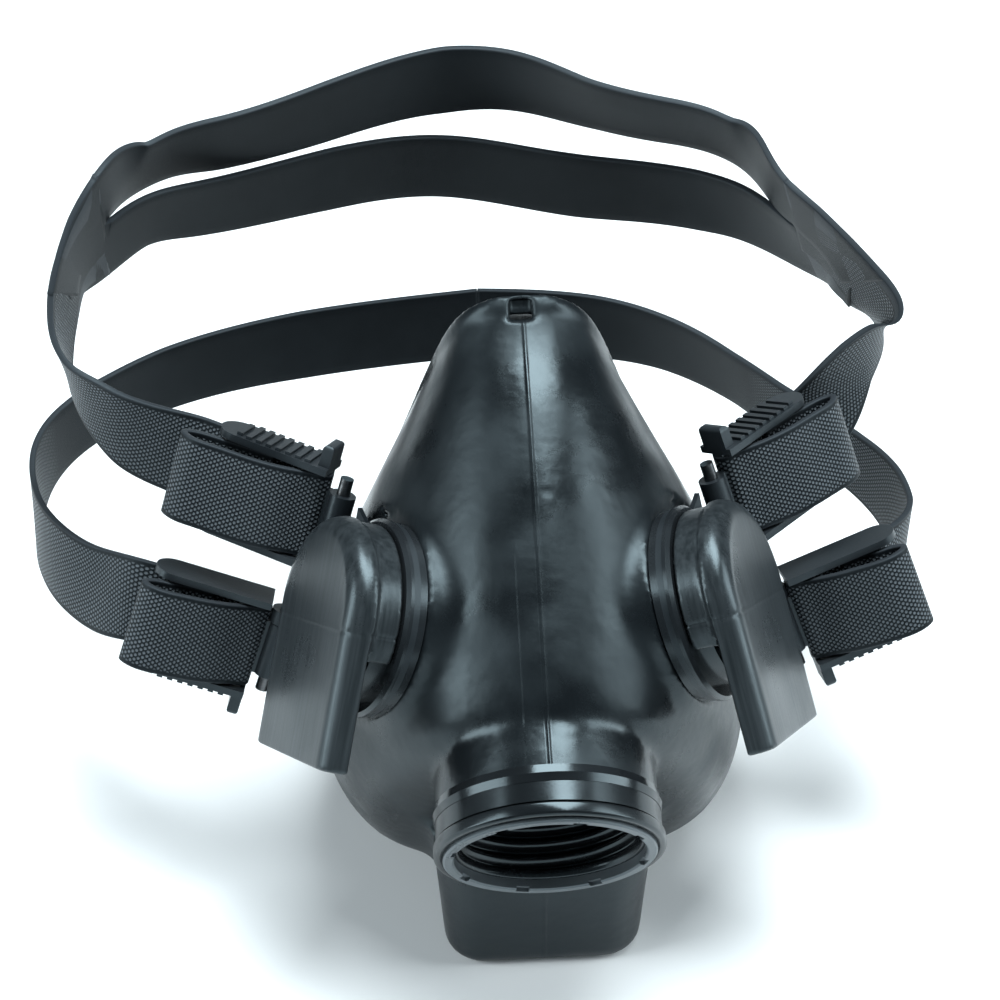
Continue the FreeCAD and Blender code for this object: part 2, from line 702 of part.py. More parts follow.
def build_buckle(level, word):
    name = "buckle_%s_%s" % (level, word)
    place = buckle_frame(level, word)
    pieces = cheek(name + "_grip", "cheek_inner") + cheek(name + "_foot", "-cheek_inner - cheek_thickness")
    ribs = int((size("cheek_length") - 7) / size("rib_pitch"))
    for index in range(ribs):
        x = size("cheek_start") + 4.4 + index * size("rib_pitch")
        half = size("cheek_half") - (0.5 if index < ribs - 1 else 1.2)
        rib = primitive("Box", "%s_rib_%d" % (name, index), at=(x, -half, "cheek_inner + cheek_thickness"),
                        Length="1.3", Width=str(2 * half), Height="rib_height")
        pieces.append(rib)
    tab = primitive("Box", name + "_tab", at=("cheek_start", -3.6, "cheek_inner"),
                    Length="2.6", Width="7.2", Height="tab_height")
    doc.recompute()
    rounded_tab = doc.addObject("Part::Fillet", name + "_tab_rounded")
    rounded_tab.Base = tab
    crown = [i for i, e in enumerate(tab.Shape.Edges, 1) if e.BoundBox.ZMin > size("cheek_inner") + 1]
    rounded_tab.Edges = [(i, 1.1, 1.1) for i in crown]
    pieces.append(rounded_tab)
    span = "2 * cheek_inner"
    pieces.append(primitive("Cylinder", name + "_roller", at=("roller_at", 0, "-cheek_inner"),
                            Radius="roller_radius", Height=span))
    pieces.append(primitive("Box", name + "_clamp_bar", at=("clamp_bar_at", -1.0, "-cheek_inner"),
                            Length="clamp_bar", Width="2", Height=span))
    pieces.append(primitive("Box", name + "_end_bar", at=("cheek_start", -1.6, "-cheek_inner"),
                            Length="end_bar", Width="3.2", Height=span))
    pieces.append(primitive("Cylinder", name + "_knuckle", at=(0, 0, "-knuckle_half"),
                            Radius="barrel_radius - 0.3", Height="2 * knuckle_half"))
    pieces.append(primitive("Box", name + "_web", at=(0, -1.2, "-knuckle_half"),
                            Length="cheek_start", Width="2.4", Height="2 * knuckle_half"))
    hole = primitive("Cylinder", name + "_hole", at=(0, 0, "-cheek_inner"),
                     Radius="pin_radius + pin_clearance", Height=span)
    node(name, cut(name, fused(name + "_blank", pieces), hole), place)
    pin = primitive("Cylinder", "hinge_pin_%s_%s" % (level, word),
                    Radius="pin_radius", Height="2 * eye_outer + 0.8")
    shift = Placement(Vector(0, 0, -size("eye_outer") - 0.4), Rotation())
    node("hinge_pin_%s_%s" % (level, word), pin, place.multiply(shift))


# ---------------------------------------------------------------- straps
def ribbon(route, breadth, per_span=4):
    """A flat strap along a smooth line: route holds (centre, width direction), breadth the widths there."""
    centres = Part.BSplineCurve()
    centres.interpolate(Points=[c for c, w in route])
    spans = len(route) - 1
    knots = centres.getKnots()
    wires = []
    half_thick = size("strap_thickness") / 2
    for step in range(spans * per_span + 1):
        index = min(step // per_span, spans - 1)
        share = step / per_span - index
        at = knots[index] + (knots[index + 1] - knots[index]) * share
        centre = centres.value(at)
        tangent = Vector(*centres.tangent(at)[0])
        ease = share * share * (3 - 2 * share)
        across = route[index][1] * (1 - ease) + route[index + 1][1] * ease
        across = (across - tangent * across.dot(tangent)).normalize()
        wide = breadth[index] * (1 - ease) + breadth[index + 1] * ease
        through = tangent.cross(across).normalize()
        wires.append(rectangle_wire(centre, across * (wide / 2), through * half_thick))
    return Part.makeLoft(wires, True, True)


def build_strap_loop(level, word):
    """The strap folded round a buckle: in along the inner side, round the roller, out, and tucked back in."""
    reach = BUCKLES[level, word][1]
    sign = outward_sign(level, word)
    roller = size("roller_at")
    wrap = size("roller_radius") + size("strap_thickness") / 2 + 0.3
    path = [
        (reach + 1.0, -4.4), (reach - 8.0, -4.3), (18.0, -4.1), (roller + 3.6, -3.4), (roller, -wrap),
        (roller - 0.87 * wrap, -0.5 * wrap), (roller - 0.87 * wrap, 0.5 * wrap), (roller, wrap),
        (roller + 4.0, 3.8), (18.0, 5.3), (reach - 8.0, 6.8), (reach - 2.5, 7.2), (reach, 5.6),
        (reach - 2.5, 3.8), (reach - 6.0, 3.4), (22.5, 2.6), (18.5, 2.3),
    ]
    route = [(Vector(x, sign * y, 0), Vector(0, 0, 1)) for x, y in path]
    solid = ribbon(route, [size("strap_width")] * len(route), 3)
    name = "strap_loop_%s_%s" % (level, word)
    node(name, shaped(name, solid), buckle_frame(level, word))


# Routes of the harness by hand: points (x, y, z) and the direction of the strap's width there.
HEAD_LEFT = (
    ((-90, 97.5, 40), (0.10, 0.04, 0.99)),
    ((-97, 103, 44), (0.18, -0.30, 0.94)),
    ((-102.5, 109, 48), (0.06, -0.52, 0.85)),
    ((-104.5, 115.5, 53), (-0.09, -0.63, 0.77)),
    ((-104, 122.5, 58), (-0.15, -0.70, 0.69)),
    ((-102, 129, 63), (-0.10, -0.66, 0.74)),
    ((-99, 134.5, 66), (-0.09, -0.59, 0.80)),
    ((-95, 140, 68), (-0.10, -0.52, 0.85)),
)
HEAD_RIGHT = (
    ((77, 105, 44), (-0.47, -0.31, 0.83)),
    ((82.5, 107.5, 48.5), (-0.22, -0.50, 0.84)),
    ((84.5, 110, 53), (0.10, -0.58, 0.81)),
    ((82.5, 112, 57.5), (0.19, -0.57, 0.80)),
    ((78, 115, 62), (0.10, -0.60, 0.79)),
    ((73, 121, 66), (0.0, -0.62, 0.78)),
    ((66.5, 129, 68), (-0.05, -0.58, 0.81)),
)
TOP_BAND = (
    ((-87, 150, 76), (0.0, -0.52, 0.85)),
    ((-79, 154.5, 77), (0.10, -0.44, 0.89)),
    ((-68.5, 156, 78.5), (0.15, -0.34, 0.92)),
    ((-42.5, 165.5, 80), (0.0, -0.26, 0.96)),
    ((-13.5, 176, 81), (0.06, -0.12, 0.99)),
    ((2, 175, 81), (0.04, -0.25, 0.96)),
    ((21.5, 164, 80.5), (0.0, -0.45, 0.89)),
    ((36, 157.5, 80), (-0.02, -0.46, 0.89)),
    ((47, 154, 79), (-0.04, -0.48, 0.88)),
    ((55, 149, 77.5), (0.0, -0.54, 0.84)),
)
LOWER_BAND = (
    ((-87, 150, 61), (-0.02, -0.42, 0.91)),
    ((-75, 155.5, 60.5), (0.02, -0.32, 0.95)),
    ((-42, 169.5, 58), (0.05, -0.16, 0.98)),
    ((-14, 176, 56), (0.05, -0.16, 0.98)),
    ((0, 173.5, 55), (0.0, -0.14, 0.99)),
    ((18, 167, 55), (0.01, -0.14, 0.99)),
    ((33, 162, 56), (0.0, -0.18, 0.98)),
    ((47, 156, 57), (-0.01, -0.22, 0.98)),
    ((56.5, 149, 58), (0.0, -0.34, 0.94)),
)
NECK = (
    ((-100, 89.5, -1), (0.50, 0.13, 0.86)),
    ((-109, 97, 0), (0.38, -0.05, 0.92)),
    ((-114, 105, 1), (0.19, -0.14, 0.97)),
    ((-116.5, 115, 2), (0.08, -0.18, 0.98)),
    ((-116.5, 127, 3), (-0.03, -0.26, 0.97)),
    ((-111.5, 140.5, 3.5), (-0.12, -0.30, 0.95)),
    ((-99.5, 153, 4), (-0.20, -0.28, 0.94)),
    ((-86, 161, 4.5), (-0.12, -0.10, 0.99)),
    ((-52.5, 171.5, 5), (0.04, 0.10, 0.99)),
    ((-6, 178, 5), (0.02, 0.13, 0.99)),
    ((25, 174, 5), (-0.05, 0.0, 1.0)),
    ((41, 167.5, 4.5), (-0.06, -0.14, 0.99)),
    ((58, 153, 3.5), (-0.11, -0.22, 0.97)),
    ((69, 139, 3), (-0.08, -0.20, 0.98)),
    ((80, 125, 2.5), (0.0, -0.12, 0.99)),
    ((87, 114, 2.5), (0.10, -0.22, 0.97)),
    ((90.5, 104, 3), (0.14, -0.30, 0.94)),
    ((91.5, 94, 3), (0.05, -0.24, 0.97)),
)
# How far beyond a buckle's loop the harness starts, how high on the buckle its strap lies, and how far
# the two head bands reach into the wide strap's ends.
HARNESS_GAP = 4.0
STRAP_LINE = 4.4
BAND_LAP = 2.5


def strap_start(level, word):
    """The harness's first two stations, straight on from a buckle's loop."""
    reach = BUCKLES[level, word][1]
    place = buckle_frame(level, word)
    line = outward_sign(level, word) * -STRAP_LINE
    width = hinge(level, SIDES[word])[1]
    return [(place.multVec(Vector(reach + HARNESS_GAP + extra, line, 0)), width) for extra in (0, 3.0)]


def stations_of(rows):
    return [(Vector(*point), Vector(*width).normalize()) for point, width in rows]


def half_section(route, breadth, sign):
    """The upper (+1) or lower (-1) half of a wide strap just inside its end, where it divides into two bands."""
    centre, width = route[-1]
    inward = (route[-2][0] - centre).normalize() * BAND_LAP
    return centre + inward + width * (sign * breadth / 4), width


def grown(start, count, single, double):
    """Strap widths along count stations: single up to the one numbered start, then growing to double."""
    last = count - 1
    widths = []
    for index in range(count):
        share = max(0.0, (index - start) / (last - start))
        widths.append(single + (double - single) * share ** 1.5)
    return widths


def build_harness():
    single = size("strap_width")
    double = 2 * single + 1.0
    left = strap_start("upper", "left") + stations_of(HEAD_LEFT)
    right = strap_start("upper", "right") + stations_of(HEAD_RIGHT)
    head = ribbon(left, grown(len(left) - 5, len(left), single, double))
    pieces = [ribbon(right, grown(len(right) - 5, len(right), single, double))]
    for rows, sign in ((TOP_BAND, 1), (LOWER_BAND, -1)):
        ends = (half_section(left, double, sign), half_section(right, double, sign))
        route = [ends[0]] + stations_of(rows) + [ends[1]]
        pieces.append(ribbon(route, [single] * len(route)))
    node("head_harness", shaped("head_harness", head.fuse(pieces)), Placement())
    neck = strap_start("lower", "left") + stations_of(NECK) + strap_start("lower", "right")[::-1]
    node("neck_strap", shaped("neck_strap", ribbon(neck, [single] * len(neck))), Placement())


# ---------------------------------------------------------------- building, checking and writing
build_facepiece()
build_port()
for side_word, valve_place in VALVES.items():
    build_seat(side_word, valve_place)
    build_retaining_ring(side_word, valve_place)
    build_cover(side_word, valve_place)
    build_bracket(side_word, valve_place)
for hinge_level, side_word in BUCKLES:
    build_buckle(hinge_level, side_word)
    build_strap_loop(hinge_level, side_word)
build_harness()
doc.recompute()

for thing in doc.Objects:
    if "Invalid" in thing.State or "Error" in thing.State:
        raise RuntimeError("%s failed: %s" % (thing.Label, thing.State))
for name, thing in NODES.items():
    if thing.Shape.isNull() or not thing.Shape.isValid() or not thing.Shape.Solids:
        raise RuntimeError(name + " has no valid solid")
os.makedirs("parts", exist_ok=True)
for name, thing in NODES.items():
    thing.Shape.exportStep("parts/%s.step" % name)
    box = thing.Shape.BoundBox
    print("%-26s solids %d volume %8.0f box %s" % (name, len(thing.Shape.Solids), thing.Shape.Volume, box))
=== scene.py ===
"""The looks of a half-mask respirator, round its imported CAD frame.

Lengths are in millimetres until a mesh is made; only bpy objects, lamps and the camera are in metres.
"""

import math

import bpy
import numpy as np
from mathutils import Matrix, Vector


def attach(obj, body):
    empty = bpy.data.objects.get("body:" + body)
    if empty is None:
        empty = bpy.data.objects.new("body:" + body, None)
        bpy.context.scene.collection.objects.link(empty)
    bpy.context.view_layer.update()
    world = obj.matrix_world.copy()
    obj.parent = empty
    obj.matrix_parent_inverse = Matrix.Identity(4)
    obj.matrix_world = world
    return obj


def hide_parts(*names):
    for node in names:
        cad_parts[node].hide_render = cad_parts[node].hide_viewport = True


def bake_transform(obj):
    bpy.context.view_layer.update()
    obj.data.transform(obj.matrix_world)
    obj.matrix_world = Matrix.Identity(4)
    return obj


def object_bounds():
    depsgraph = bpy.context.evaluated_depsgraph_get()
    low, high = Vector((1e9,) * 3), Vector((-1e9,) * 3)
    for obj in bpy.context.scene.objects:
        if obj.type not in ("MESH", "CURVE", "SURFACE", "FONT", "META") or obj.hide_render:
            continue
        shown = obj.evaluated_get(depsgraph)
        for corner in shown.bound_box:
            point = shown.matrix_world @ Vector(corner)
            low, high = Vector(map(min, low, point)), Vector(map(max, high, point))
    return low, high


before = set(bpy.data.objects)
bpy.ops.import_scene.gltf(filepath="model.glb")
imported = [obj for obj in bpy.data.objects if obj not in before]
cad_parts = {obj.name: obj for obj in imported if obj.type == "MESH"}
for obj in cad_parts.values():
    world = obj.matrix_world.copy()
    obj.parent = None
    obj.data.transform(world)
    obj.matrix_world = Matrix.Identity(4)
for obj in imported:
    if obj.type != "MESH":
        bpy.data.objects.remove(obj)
cad_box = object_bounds()
MM = 0.001


# ---------------------------------------------------------------- places on the object
def unit(v):
    v = np.array(v, float)
    return v / np.linalg.norm(v)


def turned_frame(z_axis, x_axis):
    """A 3 x 3 array whose columns are the local X, Y and Z directions."""
    z = unit(z_axis)
    y = unit(np.cross(z, x_axis))
    return np.stack([np.cross(y, z), y, z], axis=1)


DIP = math.radians(21.0)
PORT_ORIGIN = np.zeros(3)
PORT_FRAME = turned_frame((0, -math.cos(DIP), -math.sin(DIP)), (1, 0, 0))
SIDES = {"right": 1, "left": -1}


def valve_frame(side):
    """Origin and axes of an exhalation valve: local Z out of the mask, local Y up the hood."""
    sweep, tilt, lean = (math.radians(a) for a in (11.2, 24.8, 36.2))
    out = np.array([math.cos(tilt) * math.cos(sweep), -math.cos(tilt) * math.sin(sweep), math.sin(tilt)])
    up = unit(np.array([0, 0, 1]) - out * out[2])
    long_axis = up * math.cos(lean) + np.cross(up, out) * math.sin(lean)
    across = np.cross(long_axis, out)
    mirror = np.array([side, 1, 1])
    return np.array([33.2, 46.6, 27.1]) * mirror, turned_frame(out * mirror, across * mirror * side)


HINGES = {
    "upper": ((43.0, 71.6, 34.2), (-0.30, 0.33, 0.895)),
    "lower": ((58.6, 63.6, 2.8), (-0.34, 0.35, 0.87)),
}
# How far each buckle is swung out from straight back, and how far its strap reaches from the hinge.
BUCKLES = {
    ("upper", "left"): (63.0, 37.0),
    ("upper", "right"): (46.0, 35.0),
    ("lower", "left"): (80.0, 32.5),
    ("lower", "right"): (77.0, 31.0),
}


def buckle_frame(level, word):
    """Origin and axes of a buckle: local X along its strap, local Z along the hinge towards its grip."""
    mirror = np.array([SIDES[word], 1, 1])
    middle, axis = HINGES[level]
    axis = unit(np.array(axis) * mirror)
    back = unit(np.array([0, 1, 0]) - axis * axis[1])
    out = np.cross(axis, back) * -SIDES[word]
    swing = math.radians(BUCKLES[level, word][0])
    along = back * math.cos(swing) + out * math.sin(swing)
    grip = axis if level == "upper" else -axis
    return np.array(middle) * mirror, turned_frame(grip, along)


# ---------------------------------------------------------------- meshes
def add_mesh(name, points, faces):
    """A smooth-shaded mesh object from points in millimetres."""
    mesh = bpy.data.meshes.new(name)
    mesh.from_pydata((np.asarray(points) * MM).tolist(), [], faces)
    mesh.update()
    thing = bpy.data.objects.new(name, mesh)
    bpy.context.collection.objects.link(thing)
    mesh.shade_smooth()
    return thing


def store_place(thing, points):
    """Keeps each vertex's own local position, in mm, for its material to read."""
    data = thing.data.attributes.new("place", "FLOAT_VECTOR", "POINT")
    data.data.foreach_set("vector", np.asarray(points, float).ravel())


# ---------------------------------------------------------------- distance fields and their skins
def smooth_min(a, b, k):
    """The smaller field, with the crease between the two filled over a width of about k."""
    h = np.maximum(k - np.abs(a - b), 0) / k
    return np.minimum(a, b) - h * h * k / 4


def smooth_max(a, b, k):
    return -smooth_min(-a, -b, k)


def round_max(a, b, r):
    """Where a and b are both inside, with the outer edge between them rounded to radius r."""
    outside = np.hypot(np.maximum(a + r, 0), np.maximum(b + r, 0))
    return outside + np.minimum(np.maximum(a, b) + r, 0) - r


def cylinder_field(points, place, radius, low, high):
    """Negative inside a cylinder along the local Z axis of a place, between two levels."""
    origin, axes = place
    local = [sum((points[i] - origin[i]) * axes[i, j] for i in range(3)) for j in range(3)]
    return np.maximum(np.hypot(local[0], local[1]) - radius, np.maximum(low - local[2], local[2] - high))


def skin(field, low, pitch):
    """Quads over the surface where the field is zero, with one corner in each grid cell it crosses."""
    inside = field < 0
    n = [s - 1 for s in field.shape]
    corner = {}
    for bits in np.ndindex(2, 2, 2):
        corner[bits] = tuple(slice(b, b + m) for b, m in zip(bits, n))
    total = sum(inside[c].astype(np.int8) for c in corner.values())
    cells = np.argwhere((total > 0) & (total < 8))
    number = -np.ones(n, np.int64)
    number[tuple(cells.T)] = np.arange(len(cells))
    gathered = np.zeros((len(cells), 3))
    count = np.zeros(len(cells))
    for axis in range(3):
        step = np.zeros(3, int)
        step[axis] = 1
        for bits in np.ndindex(2, 2, 2):
            if bits[axis]:
                continue
            start = cells + np.array(bits)
            f0 = field[tuple(start.T)]
            f1 = field[tuple((start + step).T)]
            cross = (f0 < 0) != (f1 < 0)
            share = np.where(cross, f0 / np.where(cross, f0 - f1, 1), 0)
            at = start + step * share[:, None]
            gathered += np.where(cross[:, None], at, 0)
            count += cross
    points = gathered / count[:, None] * pitch + np.array(low)
    faces = []
    for axis in range(3):
        one, two = [(1, 2), (2, 0), (0, 1)][axis]
        near = [slice(1, m) for m in n]
        near[axis] = slice(0, n[axis])
        far = list(near)
        far[axis] = slice(1, n[axis] + 1)
        a, b = inside[tuple(near)], inside[tuple(far)]
        for flip, mask in ((False, a & ~b), (True, ~a & b)):
            spots = np.argwhere(mask)
            for k in range(3):
                if k != axis:
                    spots[:, k] += 1
            ring = []
            for d1, d2 in ((0, 0), (-1, 0), (-1, -1), (0, -1)):
                spot = spots.copy()
                spot[:, one] += d1
                spot[:, two] += d2
                ring.append(number[tuple(spot.T)])
            quad = np.stack(ring, axis=1)
            faces.append(quad[:, ::-1] if flip else quad)
    return points, np.concatenate(faces)


def relax(points, faces, rounds):
    """Evens out the skin without shrinking it: one step in, one a little larger step out."""
    edges = np.concatenate([faces[:, [i, (i + 1) % 4]] for i in range(4)])
    size = len(points)
    degree = np.bincount(edges[:, 0], minlength=size) + np.bincount(edges[:, 1], minlength=size)
    for step in range(2 * rounds):
        weight = 0.5 if step % 2 == 0 else -0.52
        moved = np.empty_like(points)
        for k in range(3):
            total = np.bincount(edges[:, 0], points[edges[:, 1], k], size)
            total += np.bincount(edges[:, 1], points[edges[:, 0], k], size)
            moved[:, k] = total / degree
        points = points + weight * (moved - points)
    return points


def grid(low, high, pitch):
    axes = [np.arange(a, b + pitch, pitch) for a, b in zip(low, high)]
    return np.meshgrid(*axes, indexing="ij")


def to_distance(field, pitch):
    """A field divided by its slope, which is close to a distance near its surface."""
    slope = np.sqrt(sum(g * g for g in np.gradient(field, pitch)))
    return field / np.maximum(slope, 1e-4)


# ---------------------------------------------------------------- rubber facepiece
# Each station is a section through the mask: top (y, z), bottom (y, z), half width, how far up it is widest,
# how full its upper part is, and how much its top is broadened.
STATIONS = np.array([
    (9.5, 27.5, 28.0, -24.0, 25.5, 0.50, 2.00, 0.0),
    (18.0, 35.0, 30.0, -38.0, 33.0, 0.45, 2.00, 0.0),
    (31.0, 44.0, 37.0, -46.0, 41.5, 0.39, 1.93, 1.0),
    (46.0, 54.0, 48.0, -49.5, 47.0, 0.34, 1.81, 3.5),
    (61.0, 63.2, 61.0, -50.5, 50.0, 0.30, 1.70, 7.5),
    (75.0, 70.5, 74.0, -51.2, 51.0, 0.26, 1.63, 14.0),
    (88.0, 76.4, 87.0, -51.2, 47.8, 0.226, 1.49, 24.0),
    (106.0, 88.5, 105.0, -51.2, 44.2, 0.21, 1.10, 24.0),
])
LOWER_FULLNESS = 2.35
WALL = 2.6
GRID_PITCH = 1.0
GRID_LOW, GRID_HIGH = (-54.5, -3.5, -55.5), (54.5, 111.5, 91.5)
NECK_RADIUS, NECK_ROOT, NECK_END = 23.8, -26, -8.4
BAND_ROOM, PORT_HOLE = 27.0, 20.6
BOSS_RADIUS, BOSS_DEPTH = 21.6, -7
VALVE_HOLE, SEAT_ROOM, SEAT_ROOM_DEPTH = 15.0, 24.5, 9.0
LIP_DEPTH, MOUTH_WIDTH_SHARE, MOUTH_HEIGHT_SHARE = 2.4, 0.72, 0.74
# The curved edge at the back, as (y, z) at the nose, the cheek and the chin.
RIM_POINTS = ((82.6, 100.0), (105.0, 20.0), (88.0, -52.0))
CHIN_BOTTOM, CHIN_TOP, CHIN_FRONT, CHIN_BACK = -51.9, -18, 12.6, 52.6
CHIN_HALF_LOW, CHIN_HALF_GAIN, CHIN_CORNER, CHIN_EDGE = 22.3, 2.2, 9.0, 3.2
# The small sunk rectangle at the top of the nose.
RECESS_SHIFT, RECESS_HALF_WIDE, RECESS_BACK, RECESS_HALF_LONG, RECESS_FLOOR, RECESS_DEPTH = (
    0.45, 2.55, 3.5, 2.4, 55, 2.1)


def spline(knots, values, at):
    """Smooth cubic curve through values at the knots."""
    n = len(knots)
    h = np.diff(knots)
    system = np.zeros((n, n))
    right = np.zeros((n,) + values.shape[1:])
    system[0, 0] = system[-1, -1] = 1
    for i in range(1, n - 1):
        system[i, i - 1:i + 2] = h[i - 1], 2 * (h[i - 1] + h[i]), h[i]
        right[i] = 6 * ((values[i + 1] - values[i]) / h[i] - (values[i] - values[i - 1]) / h[i - 1])
    bend = np.linalg.solve(system, right)
    i = np.clip(np.searchsorted(knots, at) - 1, 0, n - 2)
    shape = (-1,) + (1,) * (values.ndim - 1)
    a = ((knots[i + 1] - at) / h[i]).reshape(shape)
    b = ((at - knots[i]) / h[i]).reshape(shape)
    hh = (h[i] ** 2).reshape(shape)
    return a * values[i] + b * values[i + 1] + ((a ** 3 - a) * bend[i] + (b ** 3 - b) * bend[i + 1]) * hh / 6


def section_field(x, up, row):
    """Zero on a section's outline, for points x sideways and up from its widest level."""
    above, below, half, fullness, broad = row
    height = np.clip(np.maximum(up, 0) / above, 0, 1)
    c = height ** (fullness / 2)
    spread = broad * np.sqrt(1 - c * c) * c ** 12
    side = np.maximum(np.abs(x) - spread, 0) / half
    upper = (side ** fullness + (np.maximum(up, 0) / above) ** fullness) ** (1 / fullness)
    lower = ((np.abs(x) / half) ** LOWER_FULLNESS
             + (np.maximum(-up, 0) / below) ** LOWER_FULLNESS) ** (1 / LOWER_FULLNESS)
    return (np.where(up > 0, upper, lower) - 1) * half


def body_field(points, pitch):
    """Distance to the mask's long shape, and to its flat front end."""
    x, y, z = points
    py, pz = y[0], z[0]
    steps = np.linspace(0, len(STATIONS) - 1, 211)
    rows = spline(np.arange(len(STATIONS), dtype=float), STATIONS, steps)
    best = np.full(py.shape, np.inf)
    chosen = np.zeros(py.shape)
    previous = None
    for index, row in enumerate(rows):
        line = np.array([row[0] - row[2], row[1] - row[3]])
        line /= np.hypot(*line)
        side = (py - row[2]) * line[1] - (pz - row[3]) * line[0]
        if index == 0:
            front = side.copy()
        else:
            crossing = (previous >= 0) & (side < 0)
            share = previous / np.where(crossing, previous - side, 1)
            chosen = np.where(crossing, index - 1 + share, chosen)
        previous = side
    chosen = np.where(previous >= 0, len(rows) - 1, chosen)
    low = np.clip(chosen.astype(int), 0, len(rows) - 2)
    part = (chosen - low)[..., None]
    row = rows[low] * (1 - part) + rows[low + 1] * part
    tall = np.hypot(row[..., 0] - row[..., 2], row[..., 1] - row[..., 3])
    line_y = (row[..., 0] - row[..., 2]) / tall
    line_z = (row[..., 1] - row[..., 3]) / tall
    up = (py - row[..., 2]) * line_y + (pz - row[..., 3]) * line_z - tall * row[..., 5]
    sizes = (tall * (1 - row[..., 5]), tall * row[..., 5], row[..., 4], row[..., 6], row[..., 7])
    field = section_field(x, up[None], [s[None] for s in sizes])
    return np.clip(to_distance(field, pitch), -30, 30), np.broadcast_to(-front[None], x.shape)


def rim_field(y, z):
    """Negative in front of the curved edge that rests on the face."""
    nose, cheek, chin = (np.array(p) for p in RIM_POINTS)
    rows = np.array([cheek - nose, chin - nose]) * 2
    right = np.array([cheek @ cheek - nose @ nose, chin @ chin - nose @ nose])
    centre = np.linalg.solve(rows, right)
    radius = np.hypot(*(nose - centre))
    return np.hypot(y - centre[0], z - centre[1]) - radius


def chin_field(points, inset):
    """The chin cup: rounded at its two front corners, narrower below, with a soft lower edge."""
    x, y, z = points
    share = np.clip((z + 52) / 34, 0, 1)
    half = CHIN_HALF_LOW + CHIN_HALF_GAIN * share - inset
    corner = CHIN_CORNER - inset
    side = np.abs(x) - half
    front = CHIN_FRONT + inset - y
    plan = round_max(side, front, corner)
    plan = np.maximum(plan, y - CHIN_BACK)
    body = round_max(plan, CHIN_BOTTOM + inset - z, CHIN_EDGE)
    return np.maximum(body, z - CHIN_TOP)


def rubber_shell(points):
    """The mask's body and chin cup, hollowed to the thickness of the wall, before anything is set in it."""
    body, front = body_field(points, GRID_PITCH)
    outer = smooth_max(body, front, 7)
    outer = smooth_min(outer, chin_field(points, 0), 5)
    hollow = smooth_min(smooth_max(body + WALL, front + WALL, 5), chin_field(points, WALL), 4)
    return body, outer, smooth_max(outer, -hollow, 1.2)


def face_lip(points, outer, rim):
    """The lip turned in along the back edge, round the opening for the face."""
    x, y, z = points
    sizes = STATIONS[6]
    tall = sizes[1] - sizes[3]
    middle = sizes[3] + tall * sizes[5]
    row = (tall * (1 - sizes[5]), tall * sizes[5], sizes[4], sizes[6], sizes[7])
    up = (z - 1) / MOUTH_HEIGHT_SHARE - middle
    mouth = to_distance(section_field(x / MOUTH_WIDTH_SHARE, up, row), GRID_PITCH)
    return smooth_max(smooth_max(outer, -(rim + LIP_DEPTH), 1.5), -mouth, 1.6)


def make_facepiece():
    points = grid(GRID_LOW, GRID_HIGH, GRID_PITCH)
    x, y, z = points
    body, outer, shell = rubber_shell(points)
    rim = rim_field(y, z)
    shell = smooth_min(shell, face_lip(points, outer, rim), 3.0)
    port = (PORT_ORIGIN, PORT_FRAME)
    shell = smooth_min(shell, cylinder_field(points, port, NECK_RADIUS, NECK_ROOT, NECK_END), 1.2)
    for side in SIDES.values():
        shell = smooth_min(shell, cylinder_field(points, valve_frame(side), BOSS_RADIUS, BOSS_DEPTH, 0), 4)
    for side in SIDES.values():
        place = valve_frame(side)
        shell = smooth_max(shell, -cylinder_field(points, place, VALVE_HOLE, -20, 20), 0.6)
        shell = smooth_max(shell, -cylinder_field(points, place, SEAT_ROOM, 0.0, SEAT_ROOM_DEPTH), 0.6)
    shell = smooth_max(shell, -cylinder_field(points, port, PORT_HOLE, -40, 30), 0.6)
    shell = smooth_max(shell, -cylinder_field(points, port, BAND_ROOM, NECK_END, 30), 0.6)
    shell = smooth_max(shell, rim, 1.6)
    across = np.abs(x + RECESS_SHIFT) - RECESS_HALF_WIDE
    along = np.abs(rim + RECESS_BACK) - RECESS_HALF_LONG
    recess = np.maximum(np.maximum(across, along), RECESS_FLOOR - z)
    recess = np.maximum(recess, -(body + RECESS_DEPTH))
    shell = np.maximum(shell, -recess)
    corners, faces = skin(shell, GRID_LOW, GRID_PITCH)
    corners = relax(corners, faces, 3)
    piece = add_mesh("facepiece_rubber", corners, faces.tolist())
    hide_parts("facepiece")
    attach(piece, "mask")
    return piece


# ---------------------------------------------------------------- valve covers
HOOD_PITCH = 0.5
HOOD_LOW, HOOD_HIGH = (-22.5, -33.5, 4.0), (22.5, 22.5, 18.5)
HOOD_RADIUS, HOOD_DROP, HOOD_WALL, HOOD_TOP = 20.9, 32.0, 1.7, 17.1
HOOD_EDGE, HOOD_INNER_EDGE, HOOD_BACK, HOOD_ROOM_BACK = 4.6, 2.8, 11.4, 11.0
# The skirt round the cup: its radius, the middle and half of its depth, and how far down it reaches.
SKIRT_RADIUS, SKIRT_LEVEL, SKIRT_HALF, SKIRT_END = 20.3, 8.5, 3.3, -8
BORE_RADIUS, BORE_LEVEL, BORE_HALF = 18.8, 7.5, 5
GROOVE_DROP, GROOVE_HALF, GROOVE_DEPTH = 2.4, 0.3, 0.18


def hood_field(x, y, z, shrink, top, edge, bottom, lip):
    """A flat hood, round at its upper end and straight-sided down to its open lower end."""
    plan = np.where(y > 0, np.hypot(x, y), np.abs(x)) - HOOD_RADIUS + shrink
    body = round_max(plan, z - top, edge)
    return round_max(body, bottom - y, lip)


